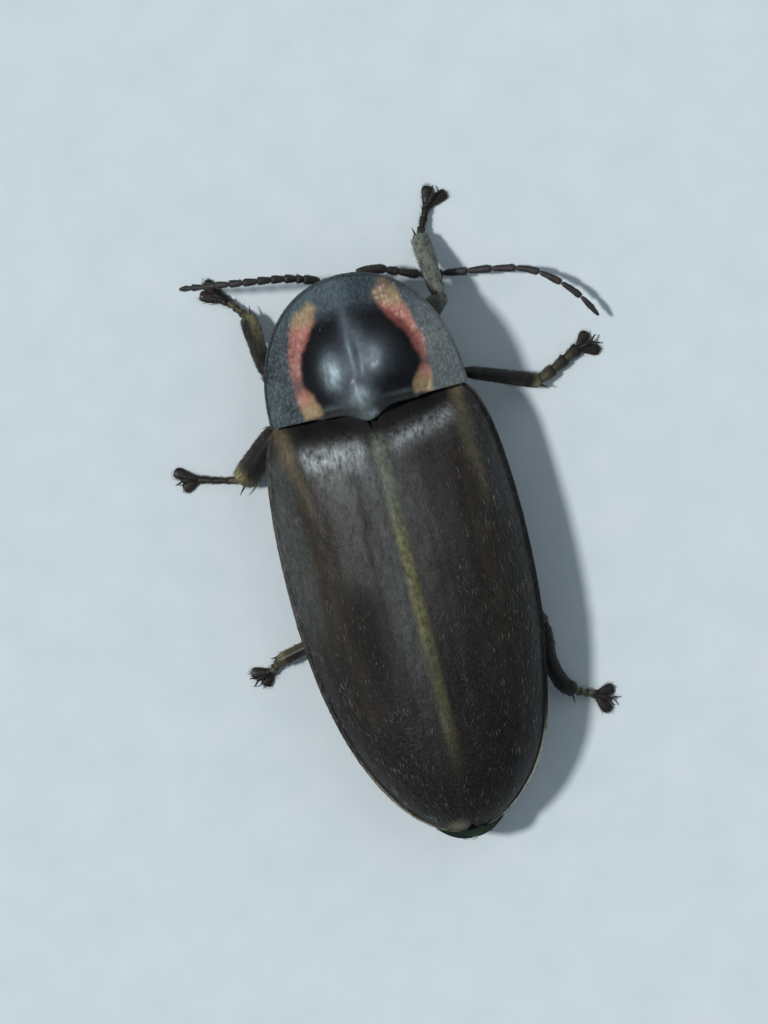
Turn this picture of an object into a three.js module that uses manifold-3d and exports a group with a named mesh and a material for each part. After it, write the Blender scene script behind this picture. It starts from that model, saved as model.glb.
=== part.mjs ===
// A winter firefly at rest on its six feet, at its real size, in millimetres with +Z up.
// The head points to -Y and the middle of the pronotum's rear edge lies at x = 0, y = 0 while the
// pieces are made. At the end the whole animal is set with its bounding box's bottom centre at the origin.
import * as THREE from 'three';
import { LoftGeometry } from 'three/addons/geometries/LoftGeometry.js';
import { mergeVertices } from 'three/addons/utils/BufferGeometryUtils.js';
import Module from 'manifold-3d';

const wasm = await Module();
wasm.setup();

// Driving dimensions
const gap = 0.3; // between neighbouring pieces
const shield = {
  length: 2.83, // pronotum, front to rear
  halfWidth: 2.19,
  fullness: 2.15, // exponent of its half-round outline
  edge: 2.1, // height of the flat margin above the ground
  dome: 0.86, // rise of the disc over the margin
  discX: 1.5,
  discY: -0.62,
  discFront: 1.55,
  discRear: 1.35,
  thick: 0.5,
  rim: 0.34,
};
const wing = {
  front: gap,
  widest: 3.3,
  rear: 9.55,
  halfWidth: 2.69,
  crown: 3.2,
  marginFront: 1.74,
  marginMid: 1.52,
  marginRear: 1.34,
  shell: 0.5,
  slit: 0.15, // half of the slit along the suture
  flat: 2.5, // exponents of the arched cross section
  arch: 0.58,
};
const under = { keel: 1.06, rise: 0.5 }; // the sternum's middle line and how far its sides rise
const belly = { front: 4.1, rear: 9.76, keel: 0.92, segments: 7, step: 0.05 };
const skull = { front: -2.55, rear: -1.8, halfWidth: 0.66, halfHeight: 0.42, z: 1.0 };
const eyeball = { x: 0.9, y: -2.2, z: 1.0, rx: 0.28, ry: 0.4, rz: 0.37 };
const feeler = { segments: 11, root: 0.23, tip: 0.17, flatness: 0.8 };
const limbs = { femur: 0.28, tibia: 0.23, tarsus: 0.21, claw: 0.07 };

const black = { color: 0x191716, roughness: 0.45, metalness: 0 };
const brownBlack = { color: 0x2b2724, roughness: 0.55, metalness: 0 };
const shieldGrey = { color: 0x3a3f44, roughness: 0.6, metalness: 0 };
const legBlack = { color: 0x211c19, roughness: 0.5, metalness: 0 };
const eyeBlack = { color: 0x0c0c0e, roughness: 0.2, metalness: 0 };

const clamp = THREE.MathUtils.clamp;
const lerp = THREE.MathUtils.lerp;
const smooth = THREE.MathUtils.smoothstep;
const sum = (a, b, t = 1) => a.clone().addScaledVector(b, t);
const point = (p) => new THREE.Vector3(...p);

// Outlines and surfaces
function shieldHalfWidth(y) {
  const v = clamp(-y / shield.length, 0, 1);
  return shield.halfWidth * Math.pow(1 - Math.pow(v, shield.fullness), 1 / shield.fullness);
}

// 0 at the middle of the rear edge, 1 all round the outline
function shieldOut(x, y) {
  const p = shield.fullness;
  const aside = Math.pow(Math.abs(x) / shield.halfWidth, p);
  return clamp(Math.pow(aside + Math.pow(clamp(-y / shield.length, 0, 1), p), 1 / p), 0, 1);
}

function shieldTop(x, y) {
  const reach = y < shield.discY ? shield.discFront : shield.discRear;
  const r = Math.hypot(x / shield.discX, (y - shield.discY) / reach);
  const dome = shield.dome * Math.pow(Math.max(0, 1 - r * r), 1.35);
  const turnedUp = 0.1 * shieldOut(x, y) ** 6;
  const lobes = 0.12 * Math.exp(-(((Math.abs(x) - 0.5) / 0.24) ** 2) - ((y + 0.9) / 0.42) ** 2);
  const groove = 0.08 * Math.exp(-((x / 0.16) ** 2) - ((y + 1.05) / 0.4) ** 2);
  const ridge = 0.1 * Math.exp(-(((x - 0.14) / 0.25) ** 2)) * smooth(y, -0.6, -0.15);
  return shield.edge + dome + turnedUp + lobes + ridge - groove - 0.12 * smooth(-y, 1.6, shield.length);
}

function shieldUnder(x, y) {
  return shieldTop(x, y) - lerp(shield.thick, shield.rim, shieldOut(x, y) ** 3);
}

function wingHalfWidth(y) {
  if (y < wing.widest) {
    const s = (wing.widest - y) / wing.widest;
    return wing.halfWidth * (1 - 0.12 * s ** 2 - 0.09 * s ** 8);
  }
  const t = clamp((y - wing.widest) / (wing.rear + 0.03 - wing.widest), 0, 1);
  return wing.halfWidth * Math.sqrt(1 - t ** 2.3);
}

function wingMargin(y) {
  const front = lerp(wing.marginFront, wing.marginMid, smooth(y, 0, wing.widest));
  return front + (wing.marginRear - wing.marginMid) * smooth(y, 5.5, wing.rear);
}

function wingCrown(y) {
  if (y < wing.widest) return wing.crown - 0.3 * ((wing.widest - y) / wing.widest) ** 2;
  const t = clamp((y - wing.widest) / (wing.rear + 0.05 - wing.widest), 0, 1);
  return wingMargin(y) + (wing.crown - wingMargin(y)) * Math.sqrt(1 - t ** 2.6);
}

// Arched height at x for a half width and a crown that may belong to the outer or the inner face.
function arched(x, y, halfWidth, crown) {
  const r = clamp(Math.abs(x) / halfWidth, 0, 1);
  return wingMargin(y) + (crown - wingMargin(y)) * Math.pow(1 - Math.pow(r, wing.flat), wing.arch);
}

function wingShell(y) {
  return wing.shell * Math.min(1, wingHalfWidth(y) / 1.4);
}

function wingUnder(x, y) {
  const halfWidth = wingHalfWidth(y) - wingShell(y);
  const crown = Math.max(wingCrown(y) - wingShell(y), wingMargin(y) + 0.01);
  return Math.abs(x) < halfWidth ? arched(x, y, halfWidth, crown) : wingMargin(y);
}

// Inner edge of a wing cover: it leaves room for the scutellum in front and rounds off at the apex.
function wingInner(y) {
  const base = 0.5 * clamp(1 - (y - wing.front) / 1.0, 0, 1);
  const apex = 0.12 * smooth(y, wing.rear - 0.35, wing.rear + 0.05);
  return wing.slit + base + apex;
}

// Solids
function solidOf(geometry) {
  const plain = new THREE.BufferGeometry();
  plain.setAttribute('position', geometry.getAttribute('position'));
  plain.setIndex(geometry.getIndex());
  const merged = mergeVertices(plain, 1e-4);
  return new wasm.Manifold(
    new wasm.Mesh({
      numProp: 3,
      vertProperties: merged.attributes.position.array,
      triVerts: new Uint32Array(merged.index.array),
    }),
  );
}

// A closed solid through rings of equally many points, turned so that its faces point outwards.
function lofted(rings) {
  const middleOf = (ring) => ring.reduce((a, b) => a.add(b), new THREE.Vector3()).divideScalar(ring.length);
  const onward = sum(middleOf(rings[1]), middleOf(rings[0]), -1);
  const turn = new THREE.Vector3();
  rings[0].forEach((p, i) => turn.add(p.clone().cross(rings[0][(i + 1) % rings[0].length])));
  if (turn.dot(onward) < 0) rings.forEach((ring) => ring.reverse());
  return solidOf(new LoftGeometry(rings, { closed: true, capStart: true, capEnd: true }));
}

function joined(solids) {
  const whole = solids.reduce((a, b) => a.add(b));
  return whole.decompose().reduce((a, b) => (a.volume() > b.volume() ? a : b));
}

function meshOf(name, solid, look) {
  const data = solid.getMesh();
  const geometry = new THREE.BufferGeometry();
  geometry.setAttribute('position', new THREE.BufferAttribute(data.vertProperties, data.numProp));
  geometry.setIndex(new THREE.BufferAttribute(data.triVerts, 1));
  geometry.computeVertexNormals();
  const mesh = new THREE.Mesh(geometry, new THREE.MeshStandardMaterial(look));
  mesh.name = name;
  return mesh;
}

// A tube along stops of [position, half width, half height], with rounded ends.
function limb(stops, sides = 8) {
  const first = stops[0];
  const last = stops[stops.length - 1];
  const lead = sum(first[0], stops[1][0], -1).normalize();
  const tail = sum(last[0], stops[stops.length - 2][0], -1).normalize();
  const cap = (stop, way) => [sum(stop[0], way, 0.45 * stop[2]), 0.6 * stop[1], 0.6 * stop[2]];
  const all = [cap(first, lead), ...stops, cap(last, tail)];
  return lofted(
    all.map(([centre, halfWidth, halfHeight], i) => {
      const before = all[Math.max(0, i - 1)][0];
      const after = all[Math.min(all.length - 1, i + 1)][0];
      const along = sum(after, before, -1).normalize();
      const up = new THREE.Vector3(0, Math.abs(along.z) > 0.95 ? 1 : 0, Math.abs(along.z) > 0.95 ? 0 : 1);
      const side = new THREE.Vector3().crossVectors(up, along).normalize();
      const rise = new THREE.Vector3().crossVectors(along, side);
      return Array.from({ length: sides }, (_, k) => {
        const a = (2 * Math.PI * (k + 0.5)) / sides;
        return sum(sum(centre, side, halfWidth * Math.cos(a)), rise, halfHeight * Math.sin(a));
      });
    }),
  );
}

function ellipsoid(x, y, z, rx, ry, rz) {
  return solidOf(new THREE.SphereGeometry(1, 16, 10).scale(rx, ry, rz).translate(x, y, z));
}

// Pronotum: a broad shield over the head, with a domed disc and flat margins
function pronotum() {
  const rings = 20;
  const across = 24;
  return lofted(
    Array.from({ length: rings }, (_, i) => {
      const angle = (i / (rings - 1)) * 0.475 * Math.PI;
      const y = -shield.length * Math.pow(Math.sin(angle), 2 / shield.fullness);
      const w = shieldHalfWidth(y);
      const at = (k) => w * Math.sin(((k / across) * 2 - 1) * 0.5 * Math.PI);
      const top = Array.from({ length: across + 1 }, (_, k) => point([at(k), y, shieldTop(at(k), y)]));
      const below = top.map(({ x }) => point([0.985 * x, y, shieldUnder(x, y)]));
      return [...top, ...below.reverse()];
    }),
  );
}

// Underside of the prothorax, under the dome
function prothorax() {
  const front = -1.5;
  const rings = 6;
  return lofted(
    Array.from({ length: rings }, (_, i) => {
      const y = lerp(front, 0, i / (rings - 1));
      const w = 1.2 * Math.sqrt(1 - 0.35 * (y / front) ** 2);
      return roundedBody(y, w, under.keel, (x) => shieldUnder(x, y) - gap);
    }),
  );
}

// Half-round body section: a keel below, sides that rise, and a top that follows what covers it.
function roundedBody(y, halfWidth, keel, topAt, rise = under.rise) {
  const parts = 7;
  const at = (k) => halfWidth * Math.sin(((k / parts) * 2 - 1) * 0.5 * Math.PI);
  const low = Array.from({ length: parts + 1 }, (_, k) =>
    point([at(k), y, keel + rise * Math.abs(at(k) / halfWidth) ** 2.4]),
  );
  const high = low.map(({ x, z }) => point([0.97 * x, y, Math.max(z + 0.12, topAt(x))]));
  return [...low, ...high.reverse()];
}

function coveredTop(x, y) {
  return wingUnder(Math.abs(x) + 0.22, y) - 0.9 * gap;
}

function thorax() {
  const rings = 8;
  const rear = belly.front - gap;
  return lofted(
    Array.from({ length: rings }, (_, i) => {
      const y = lerp(gap + 0.02, rear, i / (rings - 1));
      const w = wingHalfWidth(y) - wing.shell - gap - 0.05;
      return roundedBody(y, w, under.keel, (x) => coveredTop(x, y), 0.62);
    }),
  );
}

// Abdomen: overlapping sternites, the last reaching past the wing covers
function abdomen() {
  const rings = [];
  for (let k = 0; k < belly.segments; k++) {
    for (const f of [0, 0.5, 0.96]) {
      const along = (k + f) / belly.segments;
      const y = lerp(belly.front, belly.rear, Math.pow(along, 0.95));
      const stepOut = belly.step * f;
      const inside = wingHalfWidth(y) - wingShell(y) - gap;
      const slab = 0.86 * Math.sqrt(Math.max(0.01, 1 - ((y - 8.9) / (belly.rear - 8.9)) ** 2));
      const w = (y > 8.9 ? Math.max(inside, slab) : Math.max(inside, 0.86)) - belly.step + stepOut;
      const keel = belly.keel + 0.1 * smooth(y, 8, belly.rear) - stepOut;
      const top = (x) => (y > wing.rear - 0.35 ? wingMargin(y) - gap : coveredTop(x, y));
      rings.push(roundedBody(y, w, keel, top, 0.52 - 0.42 * smooth(y, 7.2, 8.9)));
    }
  }
  return lofted(rings);
}

function wingCover(sign) {
  const rings = 30;
  const across = 16;
  const inside = 8;
  const made = [];
  for (let i = 0; i < rings; i++) {
    const f = i / (rings - 1);
    const y = lerp(wing.front, wing.rear - 0.02, Math.sin(0.5 * Math.PI * Math.pow(f, 0.92)));
    const bevel = i === 0 ? 0.1 : 0;
    const w = wingHalfWidth(y) - bevel;
    const inner = Math.min(wingInner(y) + bevel * 0.3, w - 0.08);
    const crown = wingCrown(y) - bevel;
    const innerHalf = Math.max(w - wingShell(y), inner + 0.02);
    const innerCrown = Math.max(crown - wingShell(y), wingMargin(y) + 0.01);
    const ring = [];
    for (let k = 0; k <= across; k++) {
      const x = lerp(inner, w, Math.sin((0.5 * Math.PI * k) / across));
      ring.push(point([sign * x, y, arched(x, y, w, crown) + relief(x, y, w)]));
    }
    for (let k = inside; k >= 0; k--) {
      const x = lerp(inner, innerHalf, Math.sin((0.5 * Math.PI * k) / inside));
      ring.push(point([sign * x, y, Math.min(arched(x, y, innerHalf, innerCrown), wingUnder(x, y) + 0.02)]));
    }
    made.push(ring);
  }
  return lofted(made);
}

// Shoulder bump, faint long ribs and the bead along the suture
function relief(x, y, halfWidth) {
  const shoulder = 0.1 * Math.exp(-(((x - 1.75) / 0.32) ** 2) - ((y - 0.85) / 0.55) ** 2);
  const ribs = 0.03 * Math.exp(-(((x / halfWidth - 0.34) / 0.06) ** 2));
  const ribs2 = 0.03 * Math.exp(-(((x / halfWidth - 0.64) / 0.06) ** 2));
  const bead = 0.04 * Math.exp(-(((x - wingInner(y)) / 0.12) ** 2));
  return (ribs + ribs2 + bead) * smooth(y, 0.6, 1.6) * (1 - smooth(y, 8, 9.4)) + shoulder;
}

function scutellum() {
  const front = gap + 0.02;
  const length = 0.62;
  return lofted(
    [0, 0.25, 0.6, 0.9, 1].map((f) => {
      const y = front + f * length;
      const w = 0.34 * (1 - 0.8 * f);
      const top = 2.93 - 0.04 * f;
      return [
        [-w, top - 0.4],
        [w, top - 0.4],
        [w, top - 0.08],
        [0.5 * w, top],
        [-0.5 * w, top],
        [-w, top - 0.08],
      ].map(([x, z]) => point([x, y, z]));
    }),
  );
}

// Head with short jaws and palps, tucked under the front of the shield
function head() {
  const rings = 7;
  const core = lofted(
    Array.from({ length: rings }, (_, i) => {
      const f = i / (rings - 1);
      const y = lerp(skull.front, skull.rear, f);
      const round = Math.sqrt(1 - (2 * f - 1) ** 4 * 0.62);
      return Array.from({ length: 16 }, (_, k) => {
        const a = (2 * Math.PI * k) / 16;
        return point([
          skull.halfWidth * round * Math.cos(a),
          y,
          skull.z + skull.halfHeight * round * Math.sin(a),
        ]);
      });
    }),
  );
  const pieces = [-1, 1].flatMap((sign) => [
    limb([
      [point([0.2 * sign, skull.front + 0.15, 0.78]), 0.12, 0.12],
      [point([0.17 * sign, skull.front - 0.12, 0.7]), 0.09, 0.09],
      [point([0.05 * sign, skull.front - 0.26, 0.64]), 0.04, 0.05],
    ], 6),
    limb([
      [point([0.36 * sign, skull.front + 0.2, 0.72]), 0.12, 0.12],
      [point([0.46 * sign, skull.front - 0.05, 0.58]), 0.13, 0.12],
      [point([0.42 * sign, skull.front - 0.22, 0.5]), 0.1, 0.1],
    ], 6),
  ]);
  const cups = [-1, 1].map((sign) =>
    ellipsoid(
      sign * eyeball.x,
      eyeball.y,
      eyeball.z,
      eyeball.rx + 0.24,
      eyeball.ry + 0.24,
      eyeball.rz + 0.24,
    ),
  );
  return joined([cups.reduce((a, b) => a.subtract(b), core), ...pieces]);
}

const eye = (sign) =>
  ellipsoid(sign * eyeball.x, eyeball.y, eyeball.z, eyeball.rx, eyeball.ry, eyeball.rz);

// Feeler: eleven flattened joints, each widening to its end, along a smooth path
function antenna(route) {
  const path = new THREE.CatmullRomCurve3(route.map(point), false, 'centripetal');
  const stops = [];
  for (let k = 0; k < feeler.segments; k++) {
    for (const [f, size] of [[0.04, 0.8], [0.55, 1], [0.9, 1.04]]) {
      const u = (k + f) / feeler.segments;
      const r = lerp(feeler.root, feeler.tip, u) * size;
      stops.push([path.getPointAt(u), r, r * feeler.flatness]);
    }
  }
  return limb(stops, 7);
}

// One leg: coxa, femur, tibia with spurs, three joints, two broad lobes, and a last joint with two claws.
// The bow sets the middle of the tibia aside.
// Everything is cut flat at the ground, so that the soles lie at one level.
function leg({ hip, knee, ankle, sole, lobes, bow = 0 }) {
  const [h, k, a, s] = [hip, knee, ankle, sole].map(point);
  const ends = lobes.map(point);
  const along = (from, to, t) => from.clone().lerp(to, t);
  const shin = sum(a, k, -1).normalize();
  const front = sum(along(ends[0], ends[1], 0.5), s, -1).setZ(0).normalize();
  const cross = new THREE.Vector3(-front.y, front.x, 0);
  const { femur, tibia, tarsus, claw } = limbs;
  const pieces = [
    limb([
      [point([0.8 * h.x, h.y - 0.05, under.keel - gap - 0.1]), 0.26, 0.26],
      [h, 0.29, 0.27],
    ]),
    limb([
      [h, 0.85 * femur, 0.85 * femur],
      [along(h, k, 0.3), femur, femur],
      [along(h, k, 0.7), femur, 0.95 * femur],
      [k, 0.85 * femur, 0.85 * femur],
    ]),
    limb([
      [k, 0.95 * tibia, 0.95 * tibia],
      [along(k, a, 0.5).setX(along(k, a, 0.5).x + bow), tibia, tibia],
      [a, 1.05 * tibia, tibia],
    ]),
  ];
  for (const side of [-1, 1]) {
    const root = sum(a, cross, 0.12 * side);
    const tip = sum(sum(root, shin, 0.28), cross, 0.08 * side);
    pieces.push(limb([[root, 0.07, 0.07], [tip, 0.03, 0.03]], 5));
  }
  for (const [from, to] of [[0.02, 0.42], [0.42, 0.74], [0.74, 1.02]]) {
    pieces.push(
      limb([
        [along(a, s, from), 0.78 * tarsus, 0.78 * tarsus],
        [along(a, s, from + 0.75 * (to - from)), tarsus, tarsus],
        [along(a, s, to - 0.05), 0.9 * tarsus, 0.9 * tarsus],
      ]),
    );
  }
  for (const end of ends) {
    pieces.push(
      limb([
        [sum(s, front, -0.06), 0.16, 0.16],
        [along(s, end, 0.55), 0.18, 0.15],
        [along(s, end, 0.9), 0.14, 0.12],
      ], 7),
    );
  }
  const wrist = sum(s, front, 0.3).setZ(0.27);
  pieces.push(limb([[sum(s, front, -0.02).setZ(0.2), 0.11, 0.11], [wrist, 0.11, 0.11]], 6));
  for (const side of [-1, 1]) {
    const root = sum(wrist, cross, 0.05 * side);
    const bend = sum(sum(root, front, 0.12), cross, 0.1 * side).setZ(0.24);
    const tip = sum(sum(bend, front, 0.08), cross, 0.03 * side).setZ(0.08);
    pieces.push(limb([[root, claw, claw], [bend, 0.8 * claw, 0.8 * claw], [tip, 0.35 * claw, 0.35 * claw]], 5));
  }
  const aboveGround = solidOf(new THREE.BoxGeometry(40, 40, 10).translate(0, 0, 5));
  return joined(pieces).intersect(aboveGround);
}

// Stance of each leg as it rests. Positive x is the animal's left.
const stances = {
  leg_front_left: {
    hip: [0.5, -0.95, 0.55],
    knee: [2.0, -1.05, 1.2],
    ankle: [2.12, -2.45, 0.36],
    sole: [2.47, -2.91, 0.17],
    lobes: [[3.03, -3.19, 0.1], [2.86, -3.45, 0.1]],
  },
  leg_front_right: {
    hip: [-0.5, -0.95, 0.55],
    knee: [-2.27, -1.85, 1.36],
    ankle: [-1.96, -3.28, 0.36],
    sole: [-2.26, -3.89, 0.17],
    lobes: [[-2.39, -4.33, 0.1], [-2.74, -4.11, 0.1]],
  },
  leg_middle_left: {
    hip: [0.5, 1.0, 0.55],
    knee: [2.0, 0.08, 1.12],
    ankle: [3.04, 0.93, 0.36],
    sole: [4.05, 0.74, 0.17],
    lobes: [[4.44, 0.46, 0.1], [4.36, 0.84, 0.1]],
  },
  leg_middle_right: {
    hip: [-0.5, 1.0, 0.55],
    knee: [-2.08, 0.02, 1.14],
    ankle: [-3.93, 0.37, 0.36],
    sole: [-4.76, -0.08, 0.17],
    lobes: [[-5.02, -0.38, 0.1], [-5.2, 0.06, 0.1]],
  },
  leg_hind_left: {
    hip: [0.62, 3.1, 0.55],
    knee: [1.5, 4.5, 0.72],
    ankle: [3.04, 5.12, 0.36],
    sole: [3.47, 5.17, 0.17],
    lobes: [[3.9, 5.15, 0.1], [3.68, 5.48, 0.1]],
  },
  leg_hind_right: {
    hip: [-0.62, 3.1, 0.55],
    knee: [-2.36, 5.1, 0.78],
    ankle: [-2.84, 7.34, 0.36],
    sole: [-3.36, 7.47, 0.17],
    lobes: [[-3.7, 7.3, 0.1], [-3.55, 7.82, 0.1]],
    bow: 0.16,
  },
};

// Paths of the feelers' middle lines, root to tip.
const feelerRoutes = {
  antenna_left: [
    [0.4, -2.94, 1.08],
    [1.1, -3.04, 1.5],
    [1.9, -3.14, 1.75],
    [2.7, -3.27, 1.6],
    [3.42, -3.38, 1.12],
  ],
  antenna_right: [
    [-0.42, -2.93, 1.0],
    [-0.88, -2.87, 0.88],
    [-1.25, -2.72, 0.66],
    [-1.7, -2.53, 0.46],
    [-2.3, -2.39, 0.36],
    [-3.1, -2.27, 0.46],
    [-4.1, -2.04, 0.66],
    [-4.75, -1.68, 0.72],
    [-5.26, -1.2, 0.6],
    [-5.46, -0.87, 0.52],
  ],
};

const animal = new THREE.Group();
animal.add(
  meshOf('pronotum', pronotum(), shieldGrey),
  meshOf('prothorax', prothorax(), black),
  meshOf('head', head(), black),
  meshOf('eye_left', eye(1), eyeBlack),
  meshOf('eye_right', eye(-1), eyeBlack),
  meshOf('scutellum', scutellum(), black),
  meshOf('elytron_left', wingCover(1), brownBlack),
  meshOf('elytron_right', wingCover(-1), brownBlack),
  meshOf('thorax', thorax(), black),
  meshOf('abdomen', abdomen(), black),
);
for (const [name, route] of Object.entries(feelerRoutes)) {
  animal.add(meshOf(name, antenna(route), brownBlack));
}
for (const [name, stance] of Object.entries(stances)) {
  animal.add(meshOf(name, leg(stance), legBlack));
}

const box = new THREE.Box3().setFromObject(animal);
const middle = box.getCenter(new THREE.Vector3());
animal.position.set(-middle.x, -middle.y, -box.min.z);

export default animal;
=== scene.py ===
# A winter firefly at rest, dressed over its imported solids.
# Shapes are worked out in millimetres from the middle of the pronotum's rear edge and placed in metres.
import math

import bmesh
import bpy
import numpy as np
from mathutils import Matrix, Vector


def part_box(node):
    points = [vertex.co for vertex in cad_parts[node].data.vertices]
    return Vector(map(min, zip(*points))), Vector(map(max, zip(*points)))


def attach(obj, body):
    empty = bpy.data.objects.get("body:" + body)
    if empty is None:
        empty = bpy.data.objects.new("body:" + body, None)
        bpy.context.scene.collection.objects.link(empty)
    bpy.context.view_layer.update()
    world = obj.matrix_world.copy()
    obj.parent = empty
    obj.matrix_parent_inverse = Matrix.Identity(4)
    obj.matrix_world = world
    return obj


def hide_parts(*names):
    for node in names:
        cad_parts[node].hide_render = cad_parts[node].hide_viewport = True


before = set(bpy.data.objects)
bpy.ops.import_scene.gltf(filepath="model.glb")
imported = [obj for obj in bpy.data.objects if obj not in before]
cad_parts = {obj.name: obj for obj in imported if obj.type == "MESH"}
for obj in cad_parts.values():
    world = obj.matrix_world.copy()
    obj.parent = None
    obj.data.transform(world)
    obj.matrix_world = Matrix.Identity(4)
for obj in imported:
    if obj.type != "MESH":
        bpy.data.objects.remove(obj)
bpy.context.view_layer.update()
mm = 0.001
shieldLow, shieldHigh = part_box("pronotum")
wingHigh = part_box("elytron_left")[1]
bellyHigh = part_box("abdomen")[1]
anchor = Vector(((shieldLow[0] + shieldHigh[0]) / 2, shieldHigh[1], 0.0))
print("frame loaded, anchor", [round(v / mm, 3) for v in anchor])


# Repeatable noise on whole arrays
def cellValue(ix, iy, seed):
    h = np.sin(ix * 127.1 + iy * 311.7 + seed * 74.7) * 43758.5453
    return h - np.floor(h)


def softNoise(x, y, cell, seed):
    gx, gy = np.asarray(x) / cell, np.asarray(y) / cell
    ix, iy = np.floor(gx), np.floor(gy)
    fx, fy = gx - ix, gy - iy
    fx, fy = fx * fx * (3 - 2 * fx), fy * fy * (3 - 2 * fy)
    low = cellValue(ix, iy, seed) * (1 - fx) + cellValue(ix + 1, iy, seed) * fx
    high = cellValue(ix, iy + 1, seed) * (1 - fx) + cellValue(ix + 1, iy + 1, seed) * fx
    return low * (1 - fy) + high * fy


def nearestSeed(x, y, cell, seed):
    # distance to the nearest scattered point, in cells
    gx, gy = np.asarray(x) / cell, np.asarray(y) / cell
    ix, iy = np.floor(gx), np.floor(gy)
    best = np.full(np.broadcast(gx, gy).shape, 9.0)
    for ox in (-1, 0, 1):
        for oy in (-1, 0, 1):
            px = ix + ox + 0.15 + 0.7 * cellValue(ix + ox, iy + oy, seed)
            py = iy + oy + 0.15 + 0.7 * cellValue(ix + ox, iy + oy, seed + 5)
            best = np.minimum(best, np.hypot(gx - px, gy - py))
    return best


def grains(x, y, cell, seed):
    # highest on the scattered points
    return 1 - nearestSeed(x, y, cell, seed)


def ripple(x, y, cell, seed):
    # soft noise about zero
    return softNoise(x, y, cell, seed) - 0.5


def smooth(x, low, high):
    t = np.clip((np.asarray(x, float) - low) / (high - low), 0, 1)
    return t * t * (3 - 2 * t)


def ebb(x, low, high):
    # from 1 at low down to 0 at high
    return 1 - smooth(x, low, high)


def band(x, start, full, fading, end):
    return smooth(x, start, full) * ebb(x, fading, end)


def bell(x, middle, width):
    return np.exp(-(((np.asarray(x, float) - middle) / width) ** 2))


def spots(x, y, rows):
    # soft spots, each (strength, x, width, y, length)
    return sum(strength * bell(x, px, wide) * bell(y, py, long) for strength, px, wide, py, long in rows)


def fanned(count, start=-0.5, end=0.5):
    # numbers from sin(start * pi) to sin(end * pi), closer together towards 1 and -1
    return np.sin(np.linspace(start, end, count) * math.pi)


def alongRoute(x, y, route):
    # distance outside a band along route = [(x, y, half width)], and how far along it each point lies
    x, y = np.asarray(x, float), np.asarray(y, float)
    best, along = np.full(x.shape, 9.0), np.zeros(x.shape)
    for k in range(len(route) - 1):
        ax, ay, aw = route[k]
        bx, by, bw = route[k + 1]
        length2 = (bx - ax) ** 2 + (by - ay) ** 2
        t = np.clip(((x - ax) * (bx - ax) + (y - ay) * (by - ay)) / length2, 0, 1)
        away = np.hypot(x - ax - t * (bx - ax), y - ay - t * (by - ay)) - (aw + t * (bw - aw))
        along = np.where(away < best, (k + t) / (len(route) - 1), along)
        best = np.minimum(best, away)
    return best, along


def smoothPath(stops, count):
    # a smooth curve through rows of numbers, evenly spread between them
    stops = np.asarray(stops, float)
    ends = np.vstack([2 * stops[0] - stops[1], stops, 2 * stops[-1] - stops[-2]])
    s = np.linspace(0, len(stops) - 1 - 1e-9, count)
    k = s.astype(int)
    t = (s - k)[:, None]
    a, b, c, d = ends[k], ends[k + 1], ends[k + 2], ends[k + 3]
    return 0.5 * (2 * b + (c - a) * t + (2 * a - 5 * b + 4 * c - d) * t**2 + (3 * b - a - 3 * c + d) * t**3)


def walker(stops, count):
    # the place at any share of a smooth curve's length
    path = smoothPath(stops, count)
    walked = np.r_[0, np.cumsum(np.linalg.norm(np.diff(path, axis=0), axis=1))]
    return lambda u: np.array([np.interp(u * walked[-1], walked, path[:, c]) for c in range(3)])


def unit(vector):
    return vector / np.linalg.norm(vector)


def between(a, b, rows, size=1):
    # stops at shares of the way from a to b, each (share, half width, half height, lift)
    return [(*(a + (b - a) * f + (0, 0, lift)), wide * size, tall * size) for f, wide, tall, lift in rows]


def row(x, y, z):
    # points of one ring, side by side
    return np.stack(np.broadcast_arrays(x, y, z), axis=1)


def outerSide(rings, count):
    # 1 on the first points of every ring, and 0 on the ones that close it from inside
    return (np.arange(rings.shape[1]) < count) * 1.0


# Skins: points, faces and marks per point
def closedSkin(rings, marks=None):
    # a skin through rings that faces outwards, with both ends drawn to a middle point
    rings = np.asarray(rings, float)
    rows, columns = rings.shape[:2]
    ways = np.gradient(rings, axis=0)
    ways /= np.maximum(np.linalg.norm(ways, axis=2, keepdims=True), 1e-9)
    across, down = np.meshgrid(np.arange(columns) / columns, np.linspace(0, 1, rows))
    marks = {name: np.broadcast_to(values, (rows, columns)) for name, values in (marks or {}).items()}
    marks["flow"] = ways
    marks["place"] = np.stack([across, down, 0 * across], axis=2)
    onward = rings[1].mean(axis=0) - rings[0].mean(axis=0)
    middle = rings[0].mean(axis=0)
    turned = np.cross(rings[0] - middle, np.roll(rings[0], -1, axis=0) - middle).sum(axis=0)
    if onward @ turned < 0:
        rings = rings[:, ::-1]
        marks = {name: values[:, ::-1] for name, values in marks.items()}

    def listed(grid):
        # one row per point, then one for the middle of each end
        wide = grid.reshape(rows, columns, -1)
        return np.vstack([*wide, wide[0].mean(axis=0), wide[-1].mean(axis=0)])

    faces = [
        (i * columns + j, i * columns + (j + 1) % columns,
         (i + 1) * columns + (j + 1) % columns, (i + 1) * columns + j)
        for i in range(rows - 1) for j in range(columns)
    ]
    first, last, top = rows * columns, rows * columns + 1, (rows - 1) * columns
    faces += [(first, (j + 1) % columns, j) for j in range(columns)]
    faces += [(last, top + j, top + (j + 1) % columns) for j in range(columns)]
    return listed(rings), faces, {name: listed(values) for name, values in marks.items()}


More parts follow.
